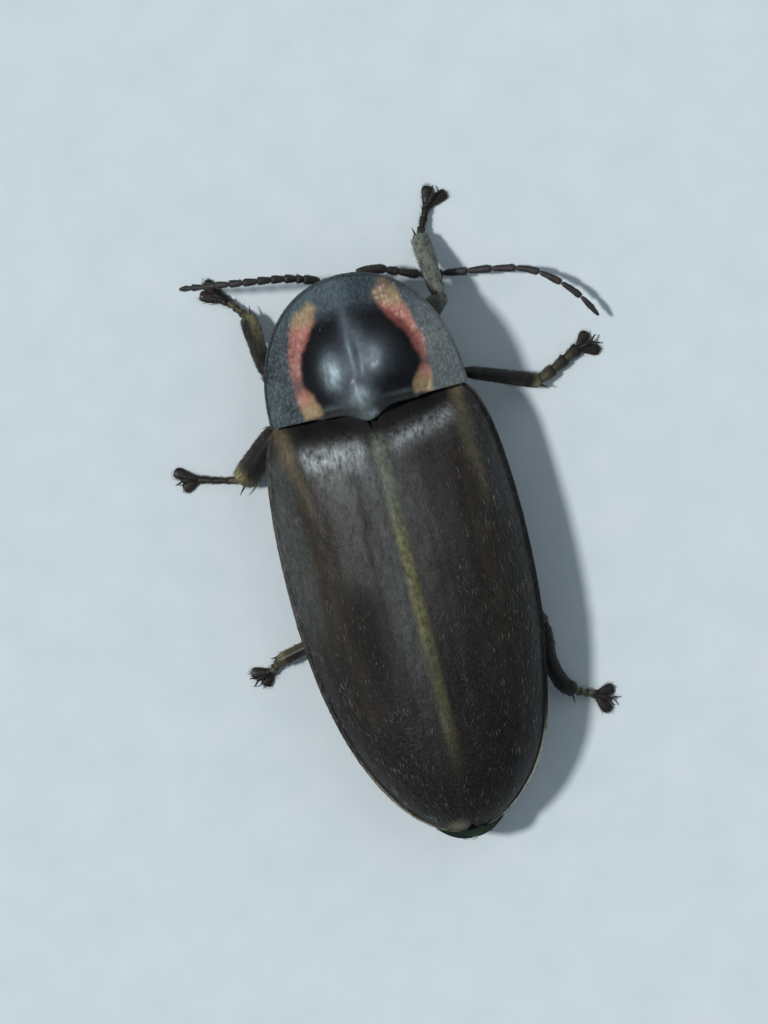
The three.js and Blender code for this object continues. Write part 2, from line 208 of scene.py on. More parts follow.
def tube(stops, rows=20, columns=16, blunt=0.8, ribs=0.0, **marks):
    # a limb through stops of (x, y, z, half width, half height), rounded at both ends
    path = smoothPath(stops, rows)
    centre, size = path[:, :3], np.maximum(path[:, 3:5], 0.002)
    axis = np.gradient(centre, axis=0)
    axis /= np.linalg.norm(axis, axis=1, keepdims=True)
    steep = np.abs(axis[:, 2:3]) > 0.97
    side = np.cross(np.where(steep, (0, 1, 0), (0, 0, 1)), axis)
    side /= np.linalg.norm(side, axis=1, keepdims=True)
    rise = np.cross(axis, side)
    ends = np.radians([78, 52, 26])
    stations = [(0, -math.sin(a), math.cos(a)) for a in ends] + [(i, 0, 1) for i in range(rows)]
    stations += [(rows - 1, math.sin(a), math.cos(a)) for a in ends[::-1]]
    turn = np.linspace(0, 2 * math.pi, columns, endpoint=False)
    rings, u = [], []
    for i, out, shrink in stations:
        middle = centre[i] + axis[i] * out * blunt * size[i, 1]
        rib = shrink * (1 + ribs * np.cos(4 * turn))
        rings.append(
            middle
            + np.outer(size[i, 0] * rib * np.cos(turn), side[i])
            + np.outer(size[i, 1] * rib * np.sin(turn), rise[i])
        )
        u.append([i / (rows - 1)] * columns)
    u = np.array(u)
    made = {"side": np.broadcast_to(np.abs(np.cos(turn)), u.shape)}
    for name, value in marks.items():
        made[name] = value(u) if callable(value) else np.full(u.shape, float(value))
    return closedSkin(rings, made)


def placed(name, data):
    made = bpy.data.objects.new(name, data)
    bpy.context.scene.collection.objects.link(made)
    return made


def addPiece(name, skins, finish, nodes, slot, smoothFaces=True):
    # one object from one or more skins, set at the origin and tied to what it replaces
    names = sorted({mark for skin in skins for mark in skin[2]})
    points, faces, start = [], [], 0
    layers = {mark: [] for mark in names}
    for k, (somePoints, someFaces, marks) in enumerate(skins):
        points.append(somePoints)
        faces += [tuple(v + start for v in face) for face in someFaces]
        start += len(somePoints)
        for mark in names:
            width = 3 if mark in ("flow", "place") else 1
            values = marks.get(mark, np.zeros((len(somePoints), width)))
            if mark == "place":
                values = (values + (k, 0, 0)) / (len(skins), 1, 1)
            layers[mark].append(values)
    mesh = bpy.data.meshes.new(name)
    mesh.from_pydata((np.vstack(points) * mm + np.array(anchor)).tolist(), [], faces)
    for mark, values in layers.items():
        values = np.vstack(values).astype(np.float32)
        kind, field = ("FLOAT_VECTOR", "vector") if values.shape[1] == 3 else ("FLOAT", "value")
        mesh.attributes.new(mark, kind, "POINT").data.foreach_set(field, values.ravel())
    if smoothFaces:
        mesh.shade_smooth()
    mesh.materials.append(finish)
    piece = placed(name, mesh)
    piece["nodes"], piece["slotName"] = " ".join(nodes), slot
    tie(piece, nodes, slot)
    return piece


def tie(piece, nodes, slot):
    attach(piece, "root")
    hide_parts(*nodes)


# Shader and geometry trees as arithmetic
def picked(sockets, key):
    return sockets[key] if isinstance(key, int) else next(s for s in sockets if s.name == key and s.enabled)


class Wire:
    def __init__(self, sheet, socket):
        self.sheet, self.socket = sheet, socket

    def __add__(self, other):
        return self.sheet.maths("ADD", self, other)

    __radd__ = __add__

    def __mul__(self, other):
        return self.sheet.maths("MULTIPLY", self, other)

    __rmul__ = __mul__

    def __sub__(self, other):
        return self.sheet.maths("SUBTRACT", self, other)

    def __rsub__(self, other):
        return self.sheet.maths("SUBTRACT", other, self)

    def __truediv__(self, other):
        return self.sheet.maths("DIVIDE", self, other)

    def __pow__(self, other):
        return self.sheet.maths("POWER", self, other)


class Sheet:
    def __init__(self, tree):
        self.tree = tree

    def node(self, kind, settings=None, sockets=None, output=0):
        made = self.tree.nodes.new(kind)
        for key, value in (settings or {}).items():
            setattr(made, key, value)
        for key, value in (sockets or {}).items():
            if isinstance(value, Wire):
                self.tree.links.new(value.socket, picked(made.inputs, key))
            else:
                picked(made.inputs, key).default_value = value
        return Wire(self, picked(made.outputs, output)) if len(made.outputs) else made

    def maths(self, operation, a, b=0.0):
        return self.node("ShaderNodeMath", {"operation": operation}, {0: a, 1: b})

    def vectorMaths(self, operation, a, b):
        return self.node("ShaderNodeVectorMath", {"operation": operation}, {0: a, 1: b})

    def scaled(self, vector, factor):
        return self.node("ShaderNodeVectorMath", {"operation": "SCALE"}, {"Vector": vector, "Scale": factor})

    def blend(self, factor, a, b):
        a, b = (c if isinstance(c, Wire) else (*c, 1) for c in (a, b))
        return self.node("ShaderNodeMix", {"data_type": "RGBA"}, {0: factor, 6: a, 7: b}, 2)

    def layers(self, colour, rows):
        # tones laid over a colour, each (mark or factor, strength, tone)
        for factor, strength, tone in rows:
            factor = self.mark(factor) if isinstance(factor, str) else factor
            colour = self.blend(factor * strength, colour, tone)
        return colour


class Finish(Sheet):
    # a material whose patterns read the mesh's own place, in millimetres
    def __init__(self, name):
        self.material = bpy.data.materials.new(name)
        self.material.use_nodes = True
        super().__init__(self.material.node_tree)
        self.tree.nodes.clear()
        place = self.node("ShaderNodeTexCoord", output=3)
        self.place = self.scaled(self.vectorMaths("SUBTRACT", place, tuple(anchor)), 1 / mm)

    def mark(self, name):
        return self.node("ShaderNodeAttribute", {"attribute_name": name}, output=2)

    def noise(self, scale, detail=3.0, roughness=0.55, stretch=(1, 1, 1)):
        place = self.vectorMaths("MULTIPLY", self.place, stretch)
        sockets = {"Vector": place, "Scale": scale, "Detail": detail, "Roughness": roughness}
        return self.node("ShaderNodeTexNoise", None, sockets)

    def cells(self, scale):
        return self.node("ShaderNodeTexVoronoi", None, {"Vector": self.place, "Scale": scale})

    def ramp(self, value, low, high):
        return self.node("ShaderNodeMapRange", {"clamp": True}, {0: value, 1: low, 2: high})

    def clouds(self, scale, low, high, detail=4.0, roughness=0.55, stretch=(1, 1, 1)):
        return self.ramp(self.noise(scale, detail, roughness, stretch), low, high)

    def pits(self, scale, low, high):
        return 1 - self.ramp(self.cells(scale), low, high)

    def grit(self, noise, cells, share=0.7):
        return self.noise(noise, 4.0) + self.cells(cells) * share

    def bump(self, height, distance=0.008, strength=0.6):
        # distance is in millimetres
        sockets = {"Height": height, "Distance": distance * mm, "Strength": strength}
        return self.node("ShaderNodeBump", None, sockets)

    def skin(self, colour, roughness, normal=None, **constants):
        shader = self.node("ShaderNodeBsdfPrincipled", None, {"Base Color": colour, "Roughness": roughness})
        node = shader.socket.node
        if normal is not None:
            self.tree.links.new(normal.socket, node.inputs["Normal"])
        for key, value in constants.items():
            node.inputs[key.replace("_", " ")].default_value = value
        output = self.tree.nodes.new("ShaderNodeOutputMaterial")
        self.tree.links.new(shader.socket, output.inputs["Surface"])
        return self.material


# Camera straight above, turned as the photo is, and a pale floor in soft light
cameraSpec = {
    "photoSize": (768, 1024),
    "pixelsPerMm": 46.0,
    "turn": math.radians(13.8),
    "middle": (0.24, 2.4),  # the picture's middle, from the anchor
    "distance": 120.0,
    "level": 1.5,  # height at which the scale above holds
    "film": 24.0,
    "clip": (0.01, 2.0),  # in metres
}
floorSpec = {"half": 0.25, "dark": (0.47, 0.54, 0.58), "light": (0.53, 0.59, 0.62)}
lightSpec = {
    "key": {"from": (0.62, -0.15, 1.0), "strength": 2.95, "angle": 6, "colour": (1.0, 0.99, 0.965)},
    "fill": {"from": (-0.7, -0.5, 0.9), "strength": 0.25, "angle": 50, "colour": (0.9, 0.95, 1.0)},
    "sky": {"colour": (0.78, 0.9, 1.0), "strength": 0.35},
}


def makeCamera():
    spec = cameraSpec
    data = bpy.data.cameras.new("camera")
    tall = spec["photoSize"][1] / spec["pixelsPerMm"]
    data.sensor_width = spec["film"]
    data.lens = spec["film"] * (spec["distance"] - spec["level"]) / tall
    data.clip_start, data.clip_end = spec["clip"]
    camera = placed("camera", data)
    c, s = math.cos(spec["turn"]), math.sin(spec["turn"])
    right, up, back = Vector((-c, s, 0)), Vector((-s, -c, 0)), Vector((0, 0, 1))
    place = anchor + Vector((*spec["middle"], spec["distance"])) * mm
    camera.matrix_world = Matrix.Translation(place) @ Matrix((right, up, back)).transposed().to_4x4()
    bpy.context.scene.camera = camera


def makeLight(name):
    spec = lightSpec[name]
    data = bpy.data.lights.new(name, "SUN")
    data.energy = spec["strength"]
    data.angle = math.radians(spec["angle"])
    data.color = spec["colour"]
    lamp = placed(name, data)
    lamp.rotation_mode = "QUATERNION"
    lamp.rotation_quaternion = Vector(spec["from"]).to_track_quat("Z", "Y")


def makeFloor():
    spec = floorSpec
    mesh = bpy.data.meshes.new("floor")
    corners = [(x * spec["half"], y * spec["half"], 0) for x, y in ((-1, -1), (1, -1), (1, 1), (-1, 1))]
    mesh.from_pydata(corners, [], [(0, 1, 2, 3)])
    floor = placed("floor", mesh)
    sheet = Finish("paleFloor")
    colour = sheet.blend(sheet.clouds(0.9, 0.2, 0.8), spec["dark"], spec["light"])
    mesh.materials.append(sheet.skin(colour, 0.8))


def makeSky():
    world = bpy.data.worlds.new("sky")
    world.use_nodes = True
    background = world.node_tree.nodes["Background"]
    background.inputs[0].default_value = (*lightSpec["sky"]["colour"], 1)
    background.inputs[1].default_value = lightSpec["sky"]["strength"]
    bpy.context.scene.world = world


makeCamera()
makeLight("key")
makeLight("fill")
makeSky()
makeFloor()
bpy.context.scene.view_settings.view_transform = "Standard"
print("camera, light and floor made")


# Pronotum
shieldSpec = {
    "length": (shieldHigh[1] - shieldLow[1]) / mm,
    "halfWidth": (shieldHigh[0] - shieldLow[0]) / 2 / mm,
    "fullness": 2.15,
    "edge": 2.12,
    "dome": 0.86,
    "disc": (1.5, -0.62, 1.55, 1.35),  # half width, middle, reach forwards and to the rear
    "upturn": 0.1,  # of the edge
    "droop": 0.12,  # of the front
    "swell": 0.15,  # at the middle of the rear edge
    "grains": (0.019, 0.0015),  # on the margins and on the disc
    "ripples": (0.012, 0.03),
    "bead": 0.02,
    # spots as rows: two lobes and hollows at the sides, then the painted sheen over the disc's lobes and
    # middle, then the painted highlights on them
    "humps": [(0.17, 0.5, 0.2, -0.8, 0.37), (-0.1, 0.72, 0.24, -0.2, 0.24), (-0.05, 1.2, 0.16, -1.1, 0.8)],
    "lobes": [(1, 0.5, 0.26, -0.77, 0.4), (0.75, -0.38, 0.33, -0.92, 0.38), (0.6, 0.03, 0.3, -0.72, 0.45),
              (0.7, 0.0, 0.24, -1.35, 0.42), (0.5, 0.1, 0.12, -1.95, 0.3)],
    "glints": [(1, 0.62, 0.17, -0.74, 0.31), (0.45, 0.13, 0.05, -1.1, 0.35), (0.2, -0.35, 0.2, -0.95, 0.25),
               (0.75, 0.1, 0.17, -0.17, 0.19), (1, -0.06, 0.1, 0.28, 0.08)],
    "rim": 0.09,  # thickness at the edge
    "thick": 0.42,  # and under the disc
    "granule": 0.075,
    "across": 240,  # points across the upper side
    "below": 60,  # and across the lower side
    "along": 180,
}
crescents = {
    "left": [(0.78, -2.27, 0.09), (0.96, -2.01, 0.22), (1.12, -1.7, 0.21), (1.31, -1.38, 0.13),
             (1.37, -1.04, 0.11), (1.38, -0.68, 0.1), (1.31, -0.34, 0.18), (1.21, 0.0, 0.2)],
    "right": [(-0.9, -2.46, 0.12), (-0.9, -2.2, 0.22), (-0.99, -1.89, 0.24), (-1.12, -1.61, 0.2),
              (-1.27, -1.29, 0.15), (-1.36, -0.98, 0.12), (-1.39, -0.72, 0.08), (-1.38, -0.56, 0.06),
              (-1.34, -0.33, 0.15), (-1.24, -0.11, 0.2), (-1.22, 0.06, 0.2)],
}


def shieldHalfWidth(y):
    v = np.clip(-np.asarray(y, float) / shieldSpec["length"], 0, 1)
    return shieldSpec["halfWidth"] * (1 - v ** shieldSpec["fullness"]) ** (1 / shieldSpec["fullness"])


def shieldOut(x, y):
    # 0 at the middle of the rear edge, 1 all round the outline
    spec = shieldSpec
    ahead = np.clip(-np.asarray(y, float) / spec["length"], 0, 1)
    p = spec["fullness"]
    return np.clip(((np.abs(x) / spec["halfWidth"]) ** p + ahead**p) ** (1 / p), 0, 1)


def shieldTop(x, y):
    spec = shieldSpec
    halfWidth, middle, forward, rearward = spec["disc"]
    r = np.hypot(x / halfWidth, (y - middle) / np.where(np.asarray(y) < middle, forward, rearward))
    z = spec["edge"] + spec["dome"] * np.maximum(0, 1 - r**2) ** 1.35
    z = z + spec["upturn"] * shieldOut(x, y) ** 6 - spec["droop"] * smooth(-y, 1.6, spec["length"])
    z += spots(x, y, [(-0.07, 0.02, 0.06, -1.12, 0.38)])
    z += spots(np.abs(x), y, spec["humps"])
    z += spec["swell"] * bell(x, 0.16, 0.1 + 0.26 * smooth(y, -0.55, 0.2)) * smooth(y, -0.6, -0.15)
    return z


def discWidth(y):
    return np.interp(y, [-2.5, -2.1, -1.7, -1.3, -0.9, -0.35, 0.1], [0.3, 0.62, 0.95, 1.22, 1.33, 1.27, 1.0])


def shieldRelief(x, y):
    # granules on the margins and the front, a thin raised rim, and a smoother disc
    spec = shieldSpec
    disc = ebb(np.abs(x) - discWidth(y), -0.1, 0.12) * smooth(y, -2.2, -1.5)
    rough = spec["grains"][0] * grains(x, y, spec["granule"], 3) + spec["ripples"][0] * ripple(x, y, 0.16, 8)
    polish = spec["grains"][1] * grains(x, y, 0.06, 6) + spec["ripples"][1] * ripple(x, y, 0.32, 9)
    return rough * (1 - disc) + polish * disc + spec["bead"] * smooth(shieldOut(x, y), 0.97, 0.985)


def shieldUnder(x, y):
    spec = shieldSpec
    return shieldTop(x, y) - spec["thick"] + (spec["thick"] - spec["rim"]) * shieldOut(x, y) ** 1.5


def shieldRear(x):
    # how far the rear edge swings back at x
    return 0.09 + 0.07 * ebb(np.abs(x), 1.0, 1.4) + 0.26 * bell(x, 0.05, 0.37)


def makeShield():
    spec = shieldSpec
    rings = []
    for angle in np.linspace(0, 0.497 * math.pi, spec["along"]):
        y = -spec["length"] * math.sin(angle) ** (2 / spec["fullness"])
        w = float(shieldHalfWidth(y))
        x = w * fanned(spec["across"])
        few = 0.99 * w * fanned(spec["below"], 0.5, -0.5)
        yTop, yLow = (y + shieldRear(some) * ebb(-y, 0, 0.7) for some in (x, few))
        top = shieldTop(x, yTop) + shieldRelief(x, yTop)
        under = shieldUnder(few, yLow) + 0.012 * grains(few, yLow, 0.12, 5)
        rings.append(np.vstack([row(x, yTop, top), row(few, yLow, under)]))
    rings = np.array(rings)
    above = outerSide(rings, spec["across"])
    x, y = rings[:, :, 0], rings[:, :, 1]
    wobble = 0.05 * ripple(x, y, 0.22, 31) + 0.03 * ripple(x, y, 0.08, 32)
    left, leftAlong = alongRoute(x, y, crescents["left"])
    right, rightAlong = alongRoute(x, y, crescents["right"])
    onLeft = left < right
    along = np.where(onLeft, leftAlong, rightAlong)
    away = np.minimum(left, right) + wobble
    front = smooth(-y, 1.5, 2.3)
    across = np.abs(x) - discWidth(y)
    grainy = smooth(grains(x, y, 0.11, 33), 0.5, 0.8) * smooth(softNoise(x, y, 0.17, 34), 0.35, 0.75)
    paler = ebb(along - 0.35 * np.clip(across - 0.1, -0.1, 0.2), 0.06, 0.24)
    paler += np.where(onLeft, smooth(along, 0.74, 1.0), smooth(along, 0.7, 0.93))
    dimLeft = 0.75 * bell(along, 0.71, 0.07) + 0.2 * bell(along, 0.5, 0.16)
    dimRight = 0.75 * bell(along, 0, 0.11) + 0.6 * bell(along, 0.68, 0.06) + 0.2 * bell(along, 0.45, 0.14)
    # painted sheen on the raised median ridge at the rear
    ridge = bell(x, 0.16 - 0.1 * smooth(y, -0.1, 0.3), 0.18 + 0.2 * smooth(y, -0.45, 0.0))
    ridge *= smooth(y, -0.55, -0.2)
    bright = smooth(x, -0.3, 0.2) * front + 0.6 * smooth(x, 1.65, 2.0) * smooth(y, -1.2, -0.5)
    crescent = above * ebb(away, -0.07, 0.06 + 0.05 * front)
    skin = closedSkin(rings, {
        "crescent": crescent,
        "speckle": above * grainy * ebb(away, 0.02, 0.16) * smooth(across, -0.05, 0.12)
        * (0.25 + 0.75 * smooth(-x, 0, 1)) * smooth(-y, 0.5, 0.9),
        "tan": np.clip(paler, 0, 1),
        "dim": np.where(onLeft, dimLeft, dimRight),
        "inner": ebb(across + wobble, -0.02, 0.16) * np.where(onLeft, 0.6, 1.0)
        * (1 - 0.7 * smooth(y, -0.6, -0.3)),
        "disc": ebb(across + wobble, -0.04, 0.12 + 0.12 * front) * smooth(y, -2.4, -1.75),
        # painted sheen on the black disc's lobes and middle, left off the median furrow
        "lobe": np.clip(spots(x, y, spec["lobes"]), 0, 1) * (1 - spots(x, y, [(0.6, 0.0, 0.05, -1.1, 0.35)])),
        # painted highlights on the lobes and the median ridge
        "glint": np.clip(spots(x, y, spec["glints"]), 0, 1),
        "front": front,
        "rim": smooth(shieldOut(x, y), 0.965, 0.988),
        # painted sheen on the median ridge, and a fainter painted sheen along the rear edge
        "ridge": np.maximum(ridge, 0.4 * bell(y, -0.03, 0.06)),
        "hem": above * smooth(y, 0.02, 0.1) * (1 - bell(x, 0.12, 0.3)) * ebb(np.abs(x), 1.15, 1.4),
        "right": smooth(-x, -0.6, 0.9),
        "bright": above * np.clip(bright, 0, 1),
        "hairiness": above * smooth(shieldOut(x, y), 0.55, 0.85) * 0.9 * (1 - crescent),
    })
    return addPiece("pronotumShield", [skin], shieldFinish(), ["pronotum"], "shield")


def shieldFinish():
    sheet = Finish("shieldCuticle")
    # tops of the granules, which carry painted highlights below
    grain = sheet.pits(13.0, 0.1, 0.7)
    cloud = sheet.clouds(2.4, 0.3, 0.7)
    satin = sheet.clouds(6.0, 0.25, 0.75)
    streak = sheet.clouds(5.0, 0.36, 0.6, 4.0, 0.65, (2.4, 0.7, 1.0))
    red = sheet.blend(sheet.clouds(9.0, 0.35, 0.65, 3.0), (0.24, 0.086, 0.072), (0.41, 0.182, 0.146))
    tan = sheet.blend(sheet.clouds(7.0, 0.35, 0.65, 3.0), (0.2, 0.147, 0.08), (0.31, 0.24, 0.14))
    sheen = sheet.blend(satin, (0.07, 0.09, 0.11), (0.14, 0.17, 0.2))
    slate = sheet.layers(sheet.blend(cloud, (0.018, 0.028, 0.036), (0.044, 0.058, 0.068)), [
        ("right", 0.6, sheet.blend(cloud, (0.058, 0.074, 0.078), (0.1, 0.118, 0.115))),
        # painted highlights on the granules' tops, here on the margins and in the next row on the front
        (grain, 0.3, (0.19, 0.235, 0.26)),
        ("front", 0.85, sheet.blend(grain * 0.4, (0.011, 0.024, 0.033), (0.055, 0.088, 0.11))),
        ("bright", 0.3, (0.15, 0.2, 0.23)),
    ])
    # the black disc, with painted sheen on its lobes and ridge and painted highlights on top
    black = sheet.layers(sheet.blend(sheet.mark("lobe"), (0.003, 0.003, 0.0045), sheen), [
        ("ridge", 0.85, sheet.blend(satin, (0.07, 0.09, 0.095), (0.15, 0.19, 0.2))),
        (sheet.mark("glint") * (streak * 0.6 + 0.25), 1, (0.4, 0.5, 0.56)),
    ])
    warm = sheet.layers(red, [
        ("inner", 0.8, (0.13, 0.03, 0.028)),
        ("tan", 1, tan),
        ("dim", 1, (0.045, 0.034, 0.035)),
    ])
    colour = sheet.layers(slate, [
        ("disc", 1, black),
        ("crescent", 1, warm),
        ("speckle", 0.6, (0.5, 0.33, 0.3)),
        ("rim", 0.5, (0.026, 0.027, 0.029)),
        ("hem", 0.85, (0.034, 0.035, 0.037)),
    ])
    gloss = 0.62 - sheet.mark("disc") * 0.28 + sheet.noise(30.0) * 0.08
    rough = sheet.bump(sheet.grit(22.0, 28.0) * (1 - sheet.mark("disc") * 0.8))
    return sheet.skin(colour, gloss, rough, Specular_IOR_Level=0.22)


shieldPiece = makeShield()
print("pronotum made")


# Wing covers
wingSpec = {
    "front": -0.14,
    "widest": 3.3,
    "rear": (wingHigh[1] - anchor[1]) / mm,
    "halfWidth": (wingHigh[0] - anchor[0]) / mm,
    "crown": 3.2,
    "margins": (1.74, 1.52, 1.34),  # heights of the side margin, front to rear
    "flat": 2.5,
    "arch": 0.58,
    "shell": 0.13,
    "slit": 0.0005,
    "flange": 0.1,
    "across": 150,
    "below": 36,
    "along": 430,
    "rugose": 0.06,
    "narrower": (0.12, 0.09),  # towards the front, little by little and close to it
    "corner": (0.42, 0.36, 0.52),  # depth, start and length of the rounded front corner
    "notch": (0.24, 0.12, 0.75),  # half width, start and length of the gap beside the scutellum
    "gape": 0.13,  # of the rear end
    "fuller": (0.0, 0.12),  # how much wider each side's rear is
    "ribs": (0.3, 0.5, 0.7),  # where the three raised lines run, as shares of the width
    "ribHeight": 0.018,
    "grainHeight": 0.017,
}


def wingHalfWidth(y):
    spec = wingSpec
    y = np.asarray(y, float)
    s = np.clip((spec["widest"] - y) / spec["widest"], 0, 1.05)
    t = np.clip((y - spec["widest"]) / (spec["rear"] + 0.05 - spec["widest"]), 0, 1)
    soft, late = spec["narrower"]
    ahead = 1 - soft * s**2 - late * s**8
    depth, start, length = spec["corner"]
    corner = depth * (1 - np.sqrt(np.clip(1 - (np.clip(start - y, 0, 0.5) / length) ** 2, 0, 1)))
    return spec["halfWidth"] * np.where(y < spec["widest"], ahead, np.sqrt(1 - t**2.3)) - corner


def wingMargin(y):
    front, middle, rear = wingSpec["margins"]
    ahead = front + (middle - front) * smooth(y, 0, wingSpec["widest"])
    return ahead + (rear - middle) * smooth(y, 5.5, 9.67)


def wingCrown(y):
    spec = wingSpec
    t = np.clip((np.asarray(y, float) - spec["widest"]) / (spec["rear"] + 0.03 - spec["widest"]), 0, 1)
    ahead = spec["crown"] - 0.3 * ((spec["widest"] - y) / spec["widest"]) ** 2
    behind = wingMargin(y) + (spec["crown"] - wingMargin(y)) * np.sqrt(1 - t**2.6)
    return np.where(y < spec["widest"], ahead, behind)


def wingInner(y):
    spec = wingSpec
    half, start, length = spec["notch"]
    notch = half * np.clip(1 - (y - start) / length, 0, 1.0) ** 1.3
    return spec["slit"] + notch + spec["gape"] * smooth(y, spec["rear"] - 0.22, spec["rear"] + 0.03) ** 2


def wingHeight(x, y, w, crown):
    spec = wingSpec
    r = np.clip(np.abs(x) / (w - spec["flange"] * np.minimum(1, w)), 0, 1.2)
    q = 1 - r ** spec["flat"]
    q = 0.5 * (q + np.sqrt(q * q + 0.0009))
    margin = wingMargin(y)
    z = margin + (crown - margin) * q ** spec["arch"] + 0.03 * smooth(r, 1.0, 1.05)
    tucked = np.minimum(z, shieldUnder(x, np.minimum(y, -0.05)) - 0.1)
    start = 0.05 + 0.25 * bell(x, 0.1, 0.5)
    return tucked + (z - tucked) * smooth(y, start, start + 0.75)


def wingRelief(x, y, w):
    spec = wingSpec
    r = x / w
    shoulder = spots(x, y, [(0.12, 1.72, 0.3, 0.95, 0.55)])
    fade = band(y, 0.6, 1.8, 7.5, 9.3)
    ribs = sum(bell(r, at + 0.012 * np.sin(1.3 * y + at * 9), 0.05) for at in spec["ribs"])
    bead = 0.014 * bell(x, wingInner(y), 0.11)
    dent = -0.06 * bell(r, 0.84, 0.09) * bell(y, 1.8, 1.4)
    granules = spec["grainHeight"] * grains(x, y, spec["rugose"], 11)
    waves = 0.019 * ripple(x, y * 0.5, 0.14, 12) + 0.028 * ripple(x, y * 0.6, 0.55, 13)
    fine = bead * smooth(y, 0.5, 1.0) + (granules + waves) * smooth(y, -0.1, 0.4)
    return shoulder + spec["ribHeight"] * ribs * fade + dent + fine


wingStreaks = {  # pale lines on the shoulders
    "wingCoverLeft": [(2.04, 0.0, 0.13), (1.98, 0.7, 0.13), (1.88, 1.4, 0.11), (1.74, 2.1, 0.08),
                      (1.6, 2.8, 0.04)],
    "wingCoverRight": [(1.88, 0.0, 0.12), (1.88, 0.7, 0.13), (1.92, 1.4, 0.11), (1.98, 2.1, 0.08),
                       (2.0, 2.8, 0.04)],
}


def makeWing(name, sign, node):
    spec = wingSpec
    rings, widths = [], []
    for f in np.linspace(0, 1, spec["along"]):
        y = spec["front"] + (spec["rear"] - spec["front"]) * math.sin(0.5 * math.pi * f**0.92)
        w = float(wingHalfWidth(y)) + spec["fuller"][sign < 0] * float(bell(y, 8.2, 1.15))
        inner = min(float(wingInner(y)), w - 0.004)
        crown = float(wingCrown(y))
        fan = fanned(spec["across"], 0, 0.5)
        x = inner + (w - inner) * np.r_[0, 0.0015, fan[1:]]  # the close second row keeps the edge crisp
        relief = wingRelief(x, y, w) * min(1.0, w / 0.6)
        top = wingHeight(x, y, w, crown) + relief
        shell = spec["shell"] * min(1.0, w / 0.8)
        lowHalf = max(w - 0.35 * shell, inner + 0.002)
        low = inner + (lowHalf - inner) * fanned(spec["below"], 0.5, 0)
        under = wingHeight(low, y, lowHalf, crown) - shell - 0.006 * nearestSeed(low, y, 0.1, 17)
        rings.append(np.vstack([row(x, y, top), row(low, y, under)]) * (sign, 1, 1))
        widths.append([w])
    rings, widths = np.array(rings), np.array(widths)
    upper = outerSide(rings, len(x))
    x, y = np.abs(rings[:, :, 0]), rings[:, :, 1]
    out = x / np.maximum(0.2, widths)
    wobble = 0.08 * ripple(x, y, 0.45, 21) + 0.05 * ripple(x, y, 0.12, 22)
    suture = ebb(x + 0.03 * ripple(x, y, 0.5, 21), 0.05, 0.21 + 0.04 * bell(y, 1.0, 0.6))
    strength = (0.8 + 0.2 * softNoise(0 * x, y, 0.6, 23)) * (1 - 0.5 * smooth(y, 4.8, 5.8))
    streak, _ = alongRoute(x, y, wingStreaks[name])
    # painted sheen near the front and a broader painted sheen over the cover, both stronger on the left
    # cover, which faces the lamp
    if sign > 0:
        sheen = bell(y, 1.0, 0.27) + 0.22 * band(y, 0.7, 1.1, 1.3, 2.5)
        sheen *= band(x, 0.2, 0.5, 1.5, 1.75)
        sheen += 0.6 * bell(x, 1.62, 0.14) * bell(y, 0.84, 0.17)
        haze = 0.72 * bell(x, 0.32, 0.34) * ebb(y, 3.6, 8.8)
        haze += 0.45 * bell(x, 1.05, 0.3) * ebb(y, 2.7, 4.4)
        haze += 0.5 * smooth(x, 1.85, 2.2) * ebb(y, 3.6, 5.2)
        shoulder = (0.6 + 0.4 * ebb(y, 0.7, 1.2)) * ebb(y, 1.1, 2.8)
    else:
        sheen = 0.78 * bell(y + 0.26 * (x - 0.5), 0.95, 0.21)
        sheen *= band(x, 0.12, 0.35, 1.6, 1.9)
        haze = (0.5 * bell(x, 0.35, 0.36) + 0.17 * bell(x, 1.0, 0.25)) * ebb(y, 2.5, 6.5)
        haze += 0.35 * smooth(x, 1.95, 2.25) * bell(y, 2.2, 0.7)
        shoulder = ebb(y, 1.7, 3.4)
    lusher = 0.55 + 0.45 * smooth(out, 0.3, 0.9) + 0.8 * smooth(out, 0.9, 0.97)
    # the hem is pale in its own colour; the right cover's is painted far paler than the left's, as painted
    # light on the side turned from the lamp
    pale = 0.02 + (0.98, 0.2)[sign > 0] * smooth(y, 7.2, 8.3)
    skin = closedSkin(rings, {
        "suture": upper * suture * strength * band(y, 0.55, 0.95, 6.8, 8.5),
        "fresh": smooth(y, 1.4, 3.4),
        "humeral": upper * ebb(streak + wobble, -0.12, 0.14) * shoulder,
        "hem": upper * smooth(x - widths, -0.075, -0.04) * pale,
        "patch": upper * bell(x, 0.3, 0.2) * smooth(y, 9.2, 9.42) * (sign > 0),
        "rear": smooth(y, 1.5, 7.5),
        "blotch": bell(out, 0.68, 0.14) * band(y, 1.2, 2.4, 6.0, 7.8),
        # dark front band: partly the cuticle's own darker base, partly painted shadow under the pronotum's
        # rear edge
        "base": ebb(y + 0.08 * smooth(x, 0.6, 1.6), 0.43, 0.7) * (1 - 0.85 * smooth(x, 1.35, 1.8)),
        "sheen": upper * sheen,
        "haze": upper * haze * smooth(y, 0.6, 1.0),
        # a rougher patch on the left cover, also painted darker as painted shade
        "dull": (sign > 0) * bell(x, 1.3, 0.5) * band(y, 3.3, 4.6, 5.2, 7.2),
        "hairiness": upper * smooth(y, 0.4, 0.7) * lusher * (1 - 0.4 * (sign < 0) * smooth(y, 4.5, 6.5)),
    })
    return addPiece(name, [skin], wingLook, [node], "wing_cover")


